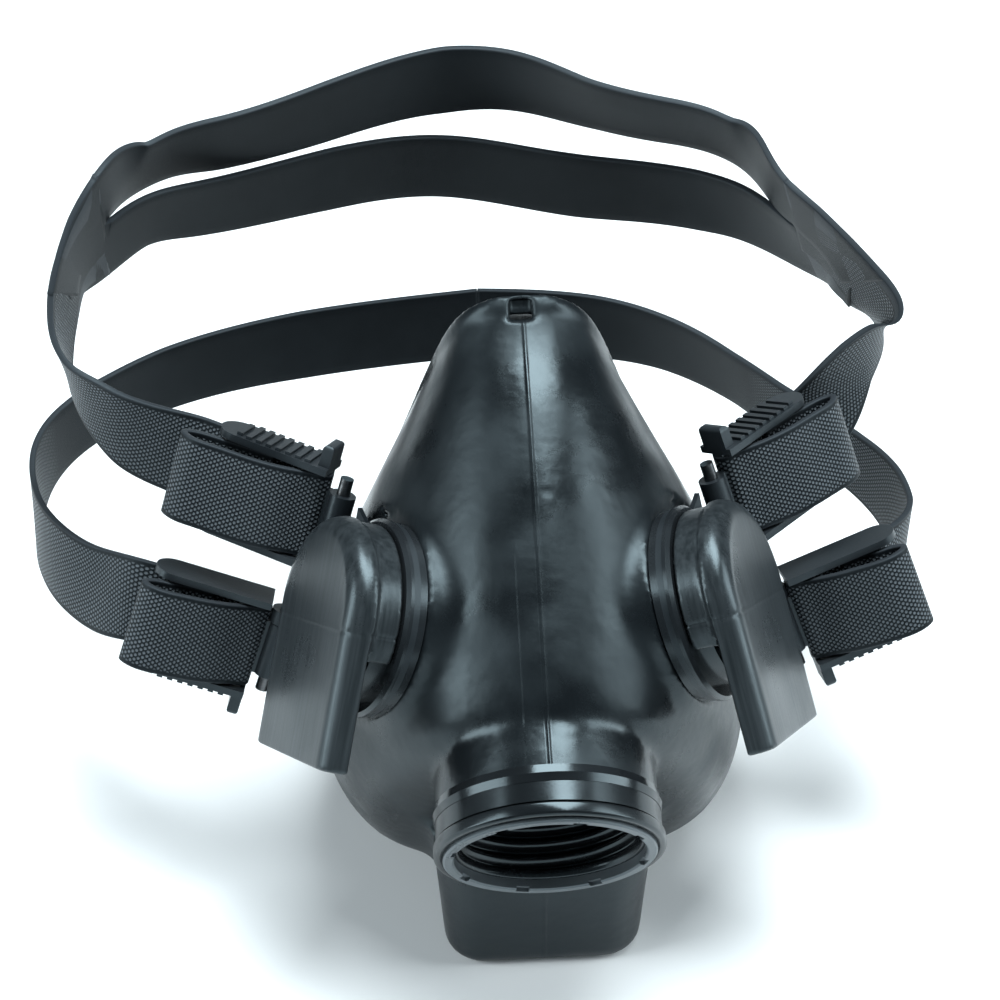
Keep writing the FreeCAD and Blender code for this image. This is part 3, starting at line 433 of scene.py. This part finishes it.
def make_cover(word):
    origin, axes = valve_frame(SIDES[word])
    x, y, z = grid(HOOD_LOW, HOOD_HIGH, HOOD_PITCH)
    outside = hood_field(x, y, z, 0, HOOD_TOP, HOOD_EDGE, -HOOD_DROP, 0.7)
    outside = np.maximum(outside, HOOD_BACK - z)
    skirt = np.maximum(np.abs(z - SKIRT_LEVEL) - SKIRT_HALF, SKIRT_END - y)
    skirt = np.maximum(np.hypot(x, y) - SKIRT_RADIUS, skirt)
    outside = smooth_min(outside, skirt, 1.6)
    inside = hood_field(x, y, z, HOOD_WALL, HOOD_TOP - HOOD_WALL, HOOD_INNER_EDGE, -HOOD_DROP - 4, 0.1)
    inside = np.maximum(inside, HOOD_ROOM_BACK - z)
    bore = np.maximum(np.hypot(x, y) - BORE_RADIUS, np.abs(z - BORE_LEVEL) - BORE_HALF)
    field = smooth_max(outside, -smooth_min(inside, bore, 0.6), 0.5)
    groove = np.abs(y + GROOVE_DROP) - GROOVE_HALF
    field = smooth_max(field, -np.maximum(groove, -(outside + GROOVE_DEPTH)), 0.25)
    corners, faces = skin(field, HOOD_LOW, HOOD_PITCH)
    corners = relax(corners, faces, 2)
    piece = add_mesh("hood_" + word, corners @ axes.T + origin, faces.tolist())
    store_place(piece, corners)
    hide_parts("valve_cover_" + word)
    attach(piece, "valve_cover_" + word)
    return piece


# ---------------------------------------------------------------- turned port parts
def lathe(name, profile, place, turns, thread):
    """A ring turned about the local Z axis from a closed profile of (radius, level, thread depth)."""
    origin, axes = place
    angle = np.arange(turns) * 2 * math.pi / turns
    rows = np.array(profile, float)
    phase = 2 * math.pi * rows[None, :, 1] / thread + angle[:, None]
    wave = (0.5 - 0.5 * np.cos(phase)) * rows[None, :, 2]
    radius = rows[None, :, 0] + wave
    local = np.stack([radius * np.cos(angle)[:, None], radius * np.sin(angle)[:, None],
                      np.broadcast_to(rows[None, :, 1], radius.shape)], axis=-1)
    count = len(rows)
    faces = []
    for i in range(turns):
        j = (i + 1) % turns
        for k in range(count):
            m = (k + 1) % count
            faces.append((i * count + k, j * count + k, j * count + m, i * count + m))
    return add_mesh(name, local.reshape(-1, 3) @ axes.T + origin, faces)


def arc(centre, radius, start, end, steps=5):
    """Profile points round a small corner; angles in degrees from the radius towards the level."""
    out = []
    for step in range(steps + 1):
        a = math.radians(start + (end - start) * step / steps)
        out.append((centre[0] + radius * math.cos(a), centre[1] + radius * math.sin(a), 0))
    return out


THREAD_PITCH, THREAD_DEPTH, CREST_RADIUS = 3.63, 1.7, 18.4
THREAD_TOP, THREAD_LONG, THREAD_ROWS = -3.8, 15.0, 130
SLEEVE_RADIUS, SLEEVE_END, SEAT_LEVEL, SEAT_RADIUS, BORE_BEHIND = 22.2, -26.0, -20.3, 19.2, 14.0


def make_port():
    """The insert: a sleeve with a rounded front flange, a groove for the ring, and a round thread inside."""
    profile = [(BORE_BEHIND, SLEEVE_END, 0), (SLEEVE_RADIUS, SLEEVE_END, 0), (SLEEVE_RADIUS, -4.2, 0)]
    profile += arc((24.3, -3.3), 0.5, -90, 0)
    profile += arc((24.0, -1.6), 0.8, 0, 90)
    profile += [(22.95, -0.8, 0), (22.95, -2.4, 0), (20.4, -2.4, 0)]
    profile += arc((20.0, -2.8), 0.5, 90, 180, 3)
    for step in range(THREAD_ROWS + 1):
        level = THREAD_TOP - THREAD_LONG * step / THREAD_ROWS
        fade = min(1.0, 3.0 * min(step + 4, THREAD_ROWS - step) / THREAD_ROWS * 4)
        profile.append((CREST_RADIUS, level, THREAD_DEPTH * fade))
    profile += [(CREST_RADIUS, -18.85, 0), (SEAT_RADIUS, -18.9, 0)]
    profile += [(SEAT_RADIUS, SEAT_LEVEL, 0), (BORE_BEHIND, SEAT_LEVEL, 0)]
    piece = lathe("threaded_insert", profile, (PORT_ORIGIN, PORT_FRAME), 240, THREAD_PITCH)
    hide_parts("port_insert")
    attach(piece, "mask")
    return piece


# ---------------------------------------------------------------- straps
STRAP_WIDE, STRAP_THICK, STRAP_SOFT_EDGE, STRAP_STEP = 20.0, 1.5, 0.32, 0.8


def strap_section():
    """The strap's outline as rows of (share of the half width, inset from the edge, height)."""
    half = STRAP_THICK / 2
    edge = []
    for angle in (0, 30, 60, 90):
        r = math.radians(angle)
        edge.append((STRAP_SOFT_EDGE * math.sin(r), STRAP_SOFT_EDGE * (1 - math.cos(r))))
    level = np.linspace(-1, 1, 9)
    loop = [(s, 0.0, half) for s in level]
    loop += [(1.0, inset, half - drop) for inset, drop in edge[1:]]
    loop += [(1.0, inset, drop - half) for inset, drop in edge[:0:-1]]
    loop += [(s, 0.0, -half) for s in level[::-1]]
    loop += [(-1.0, inset, drop - half) for inset, drop in edge[1:]]
    loop += [(-1.0, inset, half - drop) for inset, drop in edge[:0:-1]]
    return np.array(loop)


def ribbon(name, centres, widths, breadth, fade_at):
    """A flat rubber strap along a smooth line. Its map holds, in mm, the distance along and across it."""
    centres = np.array(centres, float)
    widths = np.array([unit(w) for w in widths])
    knots = np.concatenate([[0], np.cumsum(np.linalg.norm(np.diff(centres, axis=0), axis=1))])
    at = np.linspace(0, knots[-1], int(knots[-1] / STRAP_STEP) + 1)
    line = spline(knots, centres, at)
    across = np.stack([np.interp(at, knots, widths[:, k]) for k in range(3)], axis=1)
    wide = np.interp(at, knots, breadth)
    tangent = np.gradient(line, axis=0)
    tangent /= np.linalg.norm(tangent, axis=1)[:, None]
    kernel = np.hanning(9) / np.hanning(9).sum()
    padded = np.concatenate([np.repeat(across[:1], 4, 0), across, np.repeat(across[-1:], 4, 0)])
    across = np.stack([np.convolve(padded[:, k], kernel, "valid") for k in range(3)], axis=1)
    across -= tangent * (across * tangent).sum(1)[:, None]
    across /= np.linalg.norm(across, axis=1)[:, None]
    through = np.cross(tangent, across)
    length = np.concatenate([[0], np.cumsum(np.linalg.norm(np.diff(line, axis=0), axis=1))])
    loop = strap_section()
    span = (wide / 2 - STRAP_SOFT_EDGE)[:, None] * loop[None, :, 0]
    span = span + np.sign(loop[None, :, 0]) * loop[None, :, 1]
    points = line[:, None] + across[:, None] * span[..., None] + through[:, None] * loop[None, :, 2, None]
    rows, count = len(line), len(loop)
    faces = []
    maps = []
    for i in range(rows - 1):
        for k in range(count):
            m = (k + 1) % count
            faces.append((i * count + k, i * count + m, (i + 1) * count + m, (i + 1) * count + k))
            u0, u1 = length[i] - fade_at, length[i + 1] - fade_at
            v0, v1 = span[i, k], span[i, m]
            maps += [(u0, v0), (u0, v1), (u1, v1), (u1, v0)]
    for end, order in ((0, range(count - 1, -1, -1)), (rows - 1, range(count))):
        faces.append([end * count + k for k in order])
        maps += [(length[end] - fade_at, span[end, k]) for k in order]
    piece = add_mesh(name, points.reshape(-1, 3), faces)
    layer = piece.data.uv_layers.new(name="strap")
    layer.data.foreach_set("uv", np.array(maps, float).ravel())
    for polygon in piece.data.polygons[-2:]:
        polygon.use_smooth = False
    return piece, line, across, wide


def loop_path(level, word, leave):
    """From the tucked-in end, out round the bend, back to the roller, and away along the inner side."""
    origin, axes = buckle_frame(level, word)
    reach = BUCKLES[level, word][1]
    sign = (1 if word == "left" else -1) * (1 if level == "upper" else -1)
    roller, wrap = 6.9, 1.8 + STRAP_THICK / 2 + 0.3
    path = [
        (16.5, 2.1), (18.5, 2.3), (22.5, 2.7), (reach - 6.0, 3.9), (reach - 2.2, 4.9), (reach, 7.0),
        (reach - 2.4, 9.3), (reach - 8.0, 9.4), (18.0, 8.0), (roller + 4.6, 5.4), (roller, wrap),
        (roller - 0.87 * wrap, 0.5 * wrap), (roller - 0.87 * wrap, -0.5 * wrap), (roller, -wrap),
        (roller + 3.6, -3.4), (18.0, -4.1),
    ]
    path += [(reach + extra, -4.4) for extra in leave]
    points = [origin + axes @ np.array([px, sign * py, 0]) for px, py in path]
    return points, [axes[:, 2] * (1 if level == "upper" else -1)] * len(points)


# Each strap's way round the head, as (point, direction across the strap) in turn, from its buckle backwards.
HEAD = {
    "left": [((-89.5, 97.5, 40.5), (0.18, 0.08, 0.97)), ((-97, 103, 44), (0.16, -0.22, 0.95)),
             ((-102.5, 109, 48), (0.06, -0.52, 0.85)), ((-104.5, 115.5, 53), (-0.09, -0.63, 0.77)),
             ((-104, 122.5, 58), (-0.15, -0.70, 0.69)), ((-102, 129, 63), (-0.10, -0.66, 0.74)),
             ((-99, 134.5, 66), (-0.09, -0.59, 0.80)), ((-95, 140, 68), (-0.10, -0.52, 0.85))],
    "right": [((77, 104, 45.5), (-0.40, -0.30, 0.86)), ((84.5, 110.5, 53.5), (0.02, -0.52, 0.85)),
              ((78.5, 115.5, 62), (0.10, -0.60, 0.79)), ((73, 121, 66), (0.0, -0.62, 0.78)),
              ((66.5, 129, 68), (-0.05, -0.58, 0.81))],
}
TOP_BAND = [((-87, 150, 76), (0.0, -0.52, 0.85)), ((-79, 154.5, 77), (0.10, -0.44, 0.89)),
            ((-68.5, 156, 78.5), (0.15, -0.34, 0.92)), ((-42.5, 165.5, 80), (0.0, -0.26, 0.96)),
            ((-13.5, 176, 81), (0.06, -0.12, 0.99)), ((2, 175, 81), (0.04, -0.25, 0.96)),
            ((21.5, 164, 80.5), (0.0, -0.45, 0.89)), ((36, 157.5, 80), (-0.02, -0.46, 0.89)),
            ((47, 154, 79), (-0.04, -0.48, 0.88)), ((55, 149, 77.5), (0.0, -0.54, 0.84))]
LOWER_BAND = [((-87, 150, 61), (-0.02, -0.42, 0.91)), ((-75, 155.5, 60.5), (0.02, -0.32, 0.95)),
              ((-42, 169.5, 58), (0.05, -0.16, 0.98)), ((-14, 176, 56), (0.05, -0.16, 0.98)),
              ((0, 173.5, 55), (0.0, -0.14, 0.99)), ((18, 167, 55), (0.01, -0.14, 0.99)),
              ((33, 162, 56), (0.0, -0.18, 0.98)), ((47, 156, 57), (-0.01, -0.22, 0.98)),
              ((56.5, 149, 58), (0.0, -0.34, 0.94))]
NECK = {
    "left": [((-98.5, 80, 8), (0.36, 0.22, 0.90)), ((-107.8, 91, 5.6), (0.28, 0.06, 0.95)),
             ((-113.4, 102, 3.8), (0.18, -0.08, 0.98)), ((-116.5, 115, 2), (0.08, -0.18, 0.98)),
             ((-116.5, 127, 3), (-0.03, -0.26, 0.97)), ((-111.5, 140.5, 3.5), (-0.12, -0.30, 0.95)),
             ((-99.5, 153, 4), (-0.20, -0.28, 0.94)), ((-86, 161, 4.5), (-0.12, -0.10, 0.99)),
             ((-52.5, 171.5, 5), (0.04, 0.10, 0.99)), ((-6, 178, 5), (0.02, 0.13, 0.99))],
    "right": [((91.5, 94, 3), (0.05, -0.24, 0.97)), ((90.5, 104, 3), (0.14, -0.30, 0.94)),
              ((87, 114, 2.5), (0.10, -0.22, 0.97)), ((80, 125, 2.5), (0.0, -0.12, 0.99)),
              ((69, 139, 3), (-0.08, -0.20, 0.98)), ((58, 153, 3.5), (-0.11, -0.22, 0.97)),
              ((41, 167.5, 4.5), (-0.06, -0.14, 0.99)), ((25, 174, 5), (-0.05, 0.0, 1.0)),
              ((-6, 178, 5), (0.02, 0.13, 0.99))],
}


def finish_strap(piece, nodes):
    """Hides the CAD nodes a strap stands in for, and bakes its placement into its mesh."""
    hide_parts(*nodes)
    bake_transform(piece)


# How far from its tucked-in end each strap's dots fade out; a strap without dots fades before it starts.
DOTS_END = {
    ("upper", "left"): 150.0,
    ("upper", "right"): 138.0,
    ("lower", "left"): 150.0,
    ("lower", "right"): 150.0,
}
NO_DOTS = -1000
FORK_POINTS, FORK_STARTS = 5, (26, 18, 10, 2)


def make_straps():
    """Two arms that widen to their forks, the two bands between, and the two halves of the neck strap."""
    made = []
    double = 2 * STRAP_WIDE + 1.0
    ends = {}
    for word in SIDES:
        points, across = loop_path("upper", word, (-8.0, 0.0))
        route = HEAD[word]
        count = len(points) + len(route)
        breadth = [STRAP_WIDE] * count
        for index in range(FORK_POINTS):
            share = 1 - index / (FORK_POINTS - 1)
            breadth[count - 1 - index] = STRAP_WIDE + (double - STRAP_WIDE) * share ** 1.5
        centres = points + [p for p, w in route]
        widths = across + [w for p, w in route]
        fade_at = DOTS_END["upper", word]
        piece, line, side, wide = ribbon("head_strap_" + word, centres, widths, breadth, fade_at)
        ends[word] = (line, side, wide)
        finish_strap(piece,
                     ["strap_loop_upper_" + word, "head_harness"])
        made.append(piece)
    for name, rows, sign in (("top_band", TOP_BAND, 1), ("lower_band", LOWER_BAND, -1)):
        starts = {}
        for word, (line, side, wide) in ends.items():
            starts[word] = []
            for back in FORK_STARTS:
                shift = (wide[-back] - STRAP_WIDE) / 2 - 0.15
                starts[word].append((line[-back] + side[-back] * sign * shift, side[-back]))
        route = starts["left"] + list(rows) + starts["right"][::-1]
        centres = [p for p, w in route]
        widths = [w for p, w in route]
        piece = ribbon("head_" + name, centres, widths, [STRAP_WIDE] * len(route), NO_DOTS)[0]
        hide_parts("head_harness")
        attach(piece, "mask")
        made.append(piece)
    for word in SIDES:
        leave = (-8.0, 0.0) if word == "left" else (-11.0,)
        points, across = loop_path("lower", word, leave)
        route = NECK[word]
        centres = points + [p for p, w in route]
        widths = across + [w for p, w in route]
        breadth = [STRAP_WIDE] * len(centres)
        piece = ribbon("neck_strap_" + word, centres, widths, breadth, DOTS_END["lower", word])[0]
        nodes = ["strap_loop_lower_" + word, "neck_strap"]
        finish_strap(piece, nodes)
        made.append(piece)
    return made


# ---------------------------------------------------------------- materials
class Look:
    """A node material, with short helpers for building its nodes."""

    def __init__(self, name, colour, roughness, specular=0.4):
        self.material = bpy.data.materials.new(name)
        self.material.use_nodes = True
        self.tree = self.material.node_tree
        self.shader = self.tree.nodes["Principled BSDF"]
        self.shader.inputs["Base Color"].default_value = (*colour, 1)
        self.shader.inputs["Roughness"].default_value = roughness
        self.shader.inputs["Specular IOR Level"].default_value = specular
        self.shader.inputs["Specular Tint"].default_value = (0.74, 0.92, 1.0, 1)
        self.height = None

    def node(self, kind, **settings):
        made = self.tree.nodes.new(kind)
        for key, value in settings.items():
            setattr(made, key, value)
        return made

    def put(self, socket, value):
        if hasattr(value, "is_output"):
            self.tree.links.new(value, socket)
        else:
            socket.default_value = value

    def math(self, operation, a, b=0.0):
        made = self.node("ShaderNodeMath", operation=operation)
        for socket, value in zip(made.inputs, (a, b)):
            self.put(socket, value)
        return made.outputs[0]

    def place(self, source="object", scale=(1, 1, 1)):
        """Coordinates in mm, from the object's own space, or from a stored local place or strap map."""
        if source == "object":
            raw = self.node("ShaderNodeTexCoord").outputs["Object"]
            scale = tuple(s * 1000 for s in scale)
        elif source == "strap":
            raw = self.node("ShaderNodeUVMap", uv_map="strap").outputs["UV"]
        else:
            raw = self.node("ShaderNodeAttribute", attribute_name="place").outputs["Vector"]
        made = self.node("ShaderNodeVectorMath", operation="MULTIPLY")
        self.put(made.inputs[0], raw)
        made.inputs[1].default_value = scale
        return made.outputs[0]

    def noise(self, where, scale, detail=3.0, rough=0.55):
        made = self.node("ShaderNodeTexNoise")
        self.put(made.inputs["Vector"], where)
        made.inputs["Scale"].default_value = scale
        made.inputs["Detail"].default_value = detail
        made.inputs["Roughness"].default_value = rough
        return made.outputs["Fac"]

    def spread(self, value, a, b, c, d):
        made = self.node("ShaderNodeMapRange", clamp=True)
        for socket, number in zip(made.inputs[:5], (value, a, b, c, d)):
            self.put(socket, number)
        return made.outputs[0]

    def mix(self, share, first, second):
        made = self.node("ShaderNodeMix", data_type="RGBA")
        self.put(made.inputs[0], share)
        for socket, value in ((made.inputs[6], first), (made.inputs[7], second)):
            self.put(socket, value if hasattr(value, "is_output") else (*value, 1))
        return made.outputs[2]

    def bump(self, height, depth_mm, strength=1.0):
        made = self.node("ShaderNodeBump")
        made.inputs["Strength"].default_value = strength
        made.inputs["Distance"].default_value = depth_mm * MM
        self.put(made.inputs["Height"], height)
        if self.height is not None:
            self.put(made.inputs["Normal"], self.height)
        self.height = made.outputs["Normal"]
        self.put(self.shader.inputs["Normal"], self.height)

    def colour(self, value):
        self.put(self.shader.inputs["Base Color"], value)

    def roughness(self, value):
        self.put(self.shader.inputs["Roughness"], value)


def worn_plastic(name, base, light, low, high, grain=0.6, streak=None, source="object"):
    """Moulded plastic or rubber: cloudy tone, faint grain, uneven gloss, drag marks if streak is given."""
    look = Look(name, base, low)
    where = look.place(source)
    clouds = look.noise(where, 0.05, 2)
    fine = look.noise(where, 1.6, 3)
    look.colour(look.mix(look.spread(clouds, 0.35, 0.7, 0, 1), base, light))
    gloss = look.math("ADD", look.math("MULTIPLY", clouds, 0.86), look.math("MULTIPLY", fine, 0.14))
    look.roughness(look.spread(gloss, 0.35, 0.65, low, high))
    if streak:
        lines = look.noise(look.place(source, streak), 1.0, 4, 0.6)
        look.colour(look.mix(look.spread(lines, 0.35, 0.7, 0, 1), base, light))
        look.bump(lines, 0.05, 0.5)
    look.bump(fine, 0.03 * grain, 0.5)
    return look


def facepiece_look():
    """Rubber with the mould's seam down the middle, a faint raised strip beside it, and soft waves."""
    look = worn_plastic("facepiece_rubber_look", (0.0035, 0.0045, 0.0055), (0.009, 0.0115, 0.0135),
                        0.22, 0.46)
    split = look.node("ShaderNodeSeparateXYZ")
    look.put(split.inputs[0], look.place())
    x, y, z = split.outputs
    side = look.math("DIVIDE", look.math("ABSOLUTE", x), 0.42)
    bead = look.math("POWER", 2.718, look.math("MULTIPLY", look.math("MULTIPLY", side, side), -1.0))
    look.bump(bead, 0.16, 1.0)
    strip = look.spread(x, -5.1, -4.7, 0, 1)
    strip = look.math("MULTIPLY", strip, look.spread(x, -0.8, -0.3, 1, 0))
    strip = look.math("MULTIPLY", strip, look.spread(z, 13, 16, 0, 1))
    strip = look.math("MULTIPLY", strip, look.spread(z, 50, 52, 1, 0))
    look.bump(strip, 0.07, 1.0)
    waves = look.noise(look.place(), 0.14, 2)
    look.bump(waves, 0.5, 0.35)
    return look.material


def strap_look():
    """Rubber strap: staggered raised dots near the buckles, lightened with a painted highlight, a fine grain
    beyond, and lighter edges.
    """
    base, light = (0.0025, 0.0033, 0.0046), (0.005, 0.0064, 0.0082)
    look = Look("strap_rubber_look", base, 0.5, 0.18)
    split = look.node("ShaderNodeSeparateXYZ")
    look.put(split.inputs[0], look.place("strap"))
    u, v = split.outputs[0], split.outputs[1]
    along, over = 1.55, 1.12
    rows = []
    for shift in (0.0, 0.5):
        parts = []
        for value, pitch in ((u, along), (v, over)):
            cell = look.math("FRACT", look.math("ADD", look.math("DIVIDE", value, pitch), shift + 100))
            parts.append(look.math("MULTIPLY", look.math("SUBTRACT", cell, 0.5), pitch))
        away = look.math("SQRT", look.math("ADD", look.math("MULTIPLY", parts[0], parts[0]),
                                           look.math("MULTIPLY", parts[1], parts[1])))
        rows.append(away)
    near = look.math("MINIMUM", rows[0], rows[1])
    dot = look.spread(near, 0.20, 0.42, 1, 0)
    dotted = look.spread(u, -14, 6, 1, 0)
    inside_edge = look.spread(look.math("ABSOLUTE", v), 8.7, 9.1, 1, 0)
    dot_relief_and_highlight = look.math("MULTIPLY", dot, look.math("MULTIPLY", dotted, inside_edge))
    grain = look.noise(look.place("strap", (0.9, 2.6, 1)), 2.2, 3)
    clouds = look.noise(look.place(), 0.06, 3)
    tone = look.mix(look.spread(clouds, 0.35, 0.7, 0, 1), base, light)
    # The dots' light grey is a painted highlight on their raised tops, mixed into the strap's colour.
    tone = look.mix(look.math("MULTIPLY", dot_relief_and_highlight, 0.9), tone, (0.11, 0.127, 0.142))
    edge = look.spread(look.math("ABSOLUTE", v), 9.5, 9.85, 0, 0.5)
    look.colour(look.mix(edge, tone, (0.045, 0.052, 0.06)))
    gloss = look.math("SUBTRACT", grain, look.math("MULTIPLY", dot_relief_and_highlight, 0.3))
    look.roughness(look.spread(gloss, 0.1, 0.8, 0.36, 0.62))
    look.bump(dot_relief_and_highlight, 0.22, 1.0)
    look.bump(grain, 0.06, 0.7)
    return look.material


def steel_look():
    look = worn_plastic("pin_steel_look", (0.09, 0.095, 0.10), (0.14, 0.145, 0.15), 0.30, 0.45,
                        streak=(0.4, 0.4, 6))
    look.shader.inputs["Metallic"].default_value = 1.0
    return look.material


def apply_look(names, material, bevel=0.0):
    """Gives CAD nodes a material and, where bevel is more than nought, softened edges."""
    for name in names:
        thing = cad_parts.get(name) or bpy.data.objects.get(name)
        if not thing.data.materials:
            thing.data.materials.append(material)
        for slot in thing.material_slots:
            slot.material = material
        if bevel:
            soft = thing.modifiers.new("soft_edges", "BEVEL")
            soft.width = bevel * MM
            soft.segments = 2
            soft.limit_method = "ANGLE"
            soft.angle_limit = math.radians(40)
            soft.harden_normals = True


def both(*stems):
    return ["%s_%s" % (stem, word) for stem in stems for word in SIDES]


def buckle_names(stem):
    return ["%s_%s_%s" % (stem, level, word) for level, word in BUCKLES]


def dress(facepiece, covers, port, straps):
    facepiece.data.materials.append(facepiece_look())
    hood = worn_plastic("cover_plastic_look", (0.010, 0.0125, 0.0142), (0.026, 0.031, 0.0345), 0.24, 0.38,
                        streak=(0.9, 0.03, 0.9), source="place").material
    for cover in covers:
        cover.data.materials.append(hood)
    gloss = worn_plastic("port_plastic_look", (0.005, 0.006, 0.007), (0.009, 0.0105, 0.012),
                         0.16, 0.28).material
    port.data.materials.append(gloss)
    strap = strap_look()
    for piece in straps:
        piece.data.materials.append(strap)
    ring = worn_plastic("rim_ring_look", (0.06, 0.07, 0.078), (0.10, 0.115, 0.125), 0.24, 0.36).material
    apply_look(["port_rim_ring"], ring, 0.15)
    apply_look(["port_collar"], gloss, 0.3)
    band = worn_plastic("band_plastic_look", (0.006, 0.007, 0.008), (0.011, 0.013, 0.015),
                        0.12, 0.22).material
    apply_look(["port_clamp_band"], band, 0.2)
    silicone = worn_plastic("valve_rubber_look", (0.05, 0.055, 0.06), (0.075, 0.08, 0.086),
                            0.45, 0.6).material
    apply_look(["port_gasket", "inhalation_valve_disc"] + both("exhalation_disc"), silicone, 0.15)
    seat = worn_plastic("valve_plastic_look", (0.008, 0.0095, 0.011), (0.015, 0.0175, 0.02),
                        0.2, 0.32).material
    apply_look(["inhalation_valve_seat"] + both("exhalation_seat", "retaining_ring"), seat, 0.25)
    buckle = worn_plastic("buckle_plastic_look", (0.010, 0.0125, 0.015), (0.022, 0.026, 0.030),
                          0.30, 0.46, 1.2).material
    apply_look(both("harness_bracket") + buckle_names("buckle"), buckle, 0.25)
    apply_look(buckle_names("hinge_pin"), steel_look())


# ---------------------------------------------------------------- floor, light and camera
AIM = Vector((0, 0.06, 0.02))
# Each lamp's name, place, size and power.
LAMPS = (
    ("key", (0.15, 0.25, 1.1), (0.8, 0.5), 23.5),
    ("left", (-0.9, -0.1, 0.45), (0.35, 0.8), 7.5),
    ("right", (0.95, -0.05, 0.5), (0.35, 0.8), 7.5),
    ("front", (0.0, -1.0, 0.15), (0.9, 0.25), 1.6),
)


def make_stage():
    """A pale floor under the object's lowest point, a dim cool sky, and the soft lamps."""
    floor_level = float(cad_box[0][2])
    bpy.ops.mesh.primitive_plane_add(size=6, location=(0, 0, floor_level))
    floor = bpy.context.object
    floor.name = "floor"
    look = Look("floor_look", (0.86, 0.88, 0.89), 0.55, 0.3)
    look.colour(look.mix(look.noise(look.place(), 0.004, 3), (0.86, 0.88, 0.89), (0.89, 0.905, 0.915)))
    floor.data.materials.append(look.material)
    world = bpy.data.worlds.new("studio")
    bpy.context.scene.world = world
    world.use_nodes = True
    shade = world.node_tree.nodes["Background"]
    shade.inputs["Color"].default_value = (0.72, 0.90, 1.0, 1)
    shade.inputs["Strength"].default_value = 0.13
    for name, at, size, power in LAMPS:
        data = bpy.data.lights.new(name, "AREA")
        data.shape = "RECTANGLE"
        data.size, data.size_y = size
        data.energy = power
        data.color = (0.90, 0.975, 1.0)
        lamp = bpy.data.objects.new(name, data)
        lamp.location = at
        lamp.rotation_euler = (AIM - Vector(at)).to_track_quat("-Z", "Y").to_euler()
        bpy.context.collection.objects.link(lamp)


# The camera looks down by the first angle, in degrees, and is turned and rolled by the others. It stands so
# many metres back, left and up from the port's mouth, along its own axes.
CAMERA_ANGLES = (42.0, 3.04, 0.46)
CAMERA_BACK, CAMERA_LEFT, CAMERA_UP = 0.5508, 0.0107, 0.07595


def make_camera():
    raise_by, turn, roll = (math.radians(a) for a in CAMERA_ANGLES)
    level = math.cos(raise_by)
    forward = Vector((math.sin(turn) * level, math.cos(turn) * level, -math.sin(raise_by)))
    right = Vector((math.cos(turn), -math.sin(turn), 0))
    up = right.cross(forward)
    right, up = (right * math.cos(roll) - up * math.sin(roll), right * math.sin(roll) + up * math.cos(roll))
    data = bpy.data.cameras.new("view")
    data.sensor_width = 36
    data.lens = 93.6
    data.clip_end = 20
    camera = bpy.data.objects.new("view", data)
    bpy.context.collection.objects.link(camera)
    place = -forward * CAMERA_BACK - right * CAMERA_LEFT + up * CAMERA_UP
    rotation = Matrix((right, up, -forward)).transposed().to_4x4()
    camera.matrix_world = Matrix.Translation(place) @ rotation
    bpy.context.scene.camera = camera
    bpy.context.scene.view_settings.view_transform = "Standard"


dress(make_facepiece(), [make_cover(word) for word in SIDES], make_port(), make_straps())
make_stage()
make_camera()
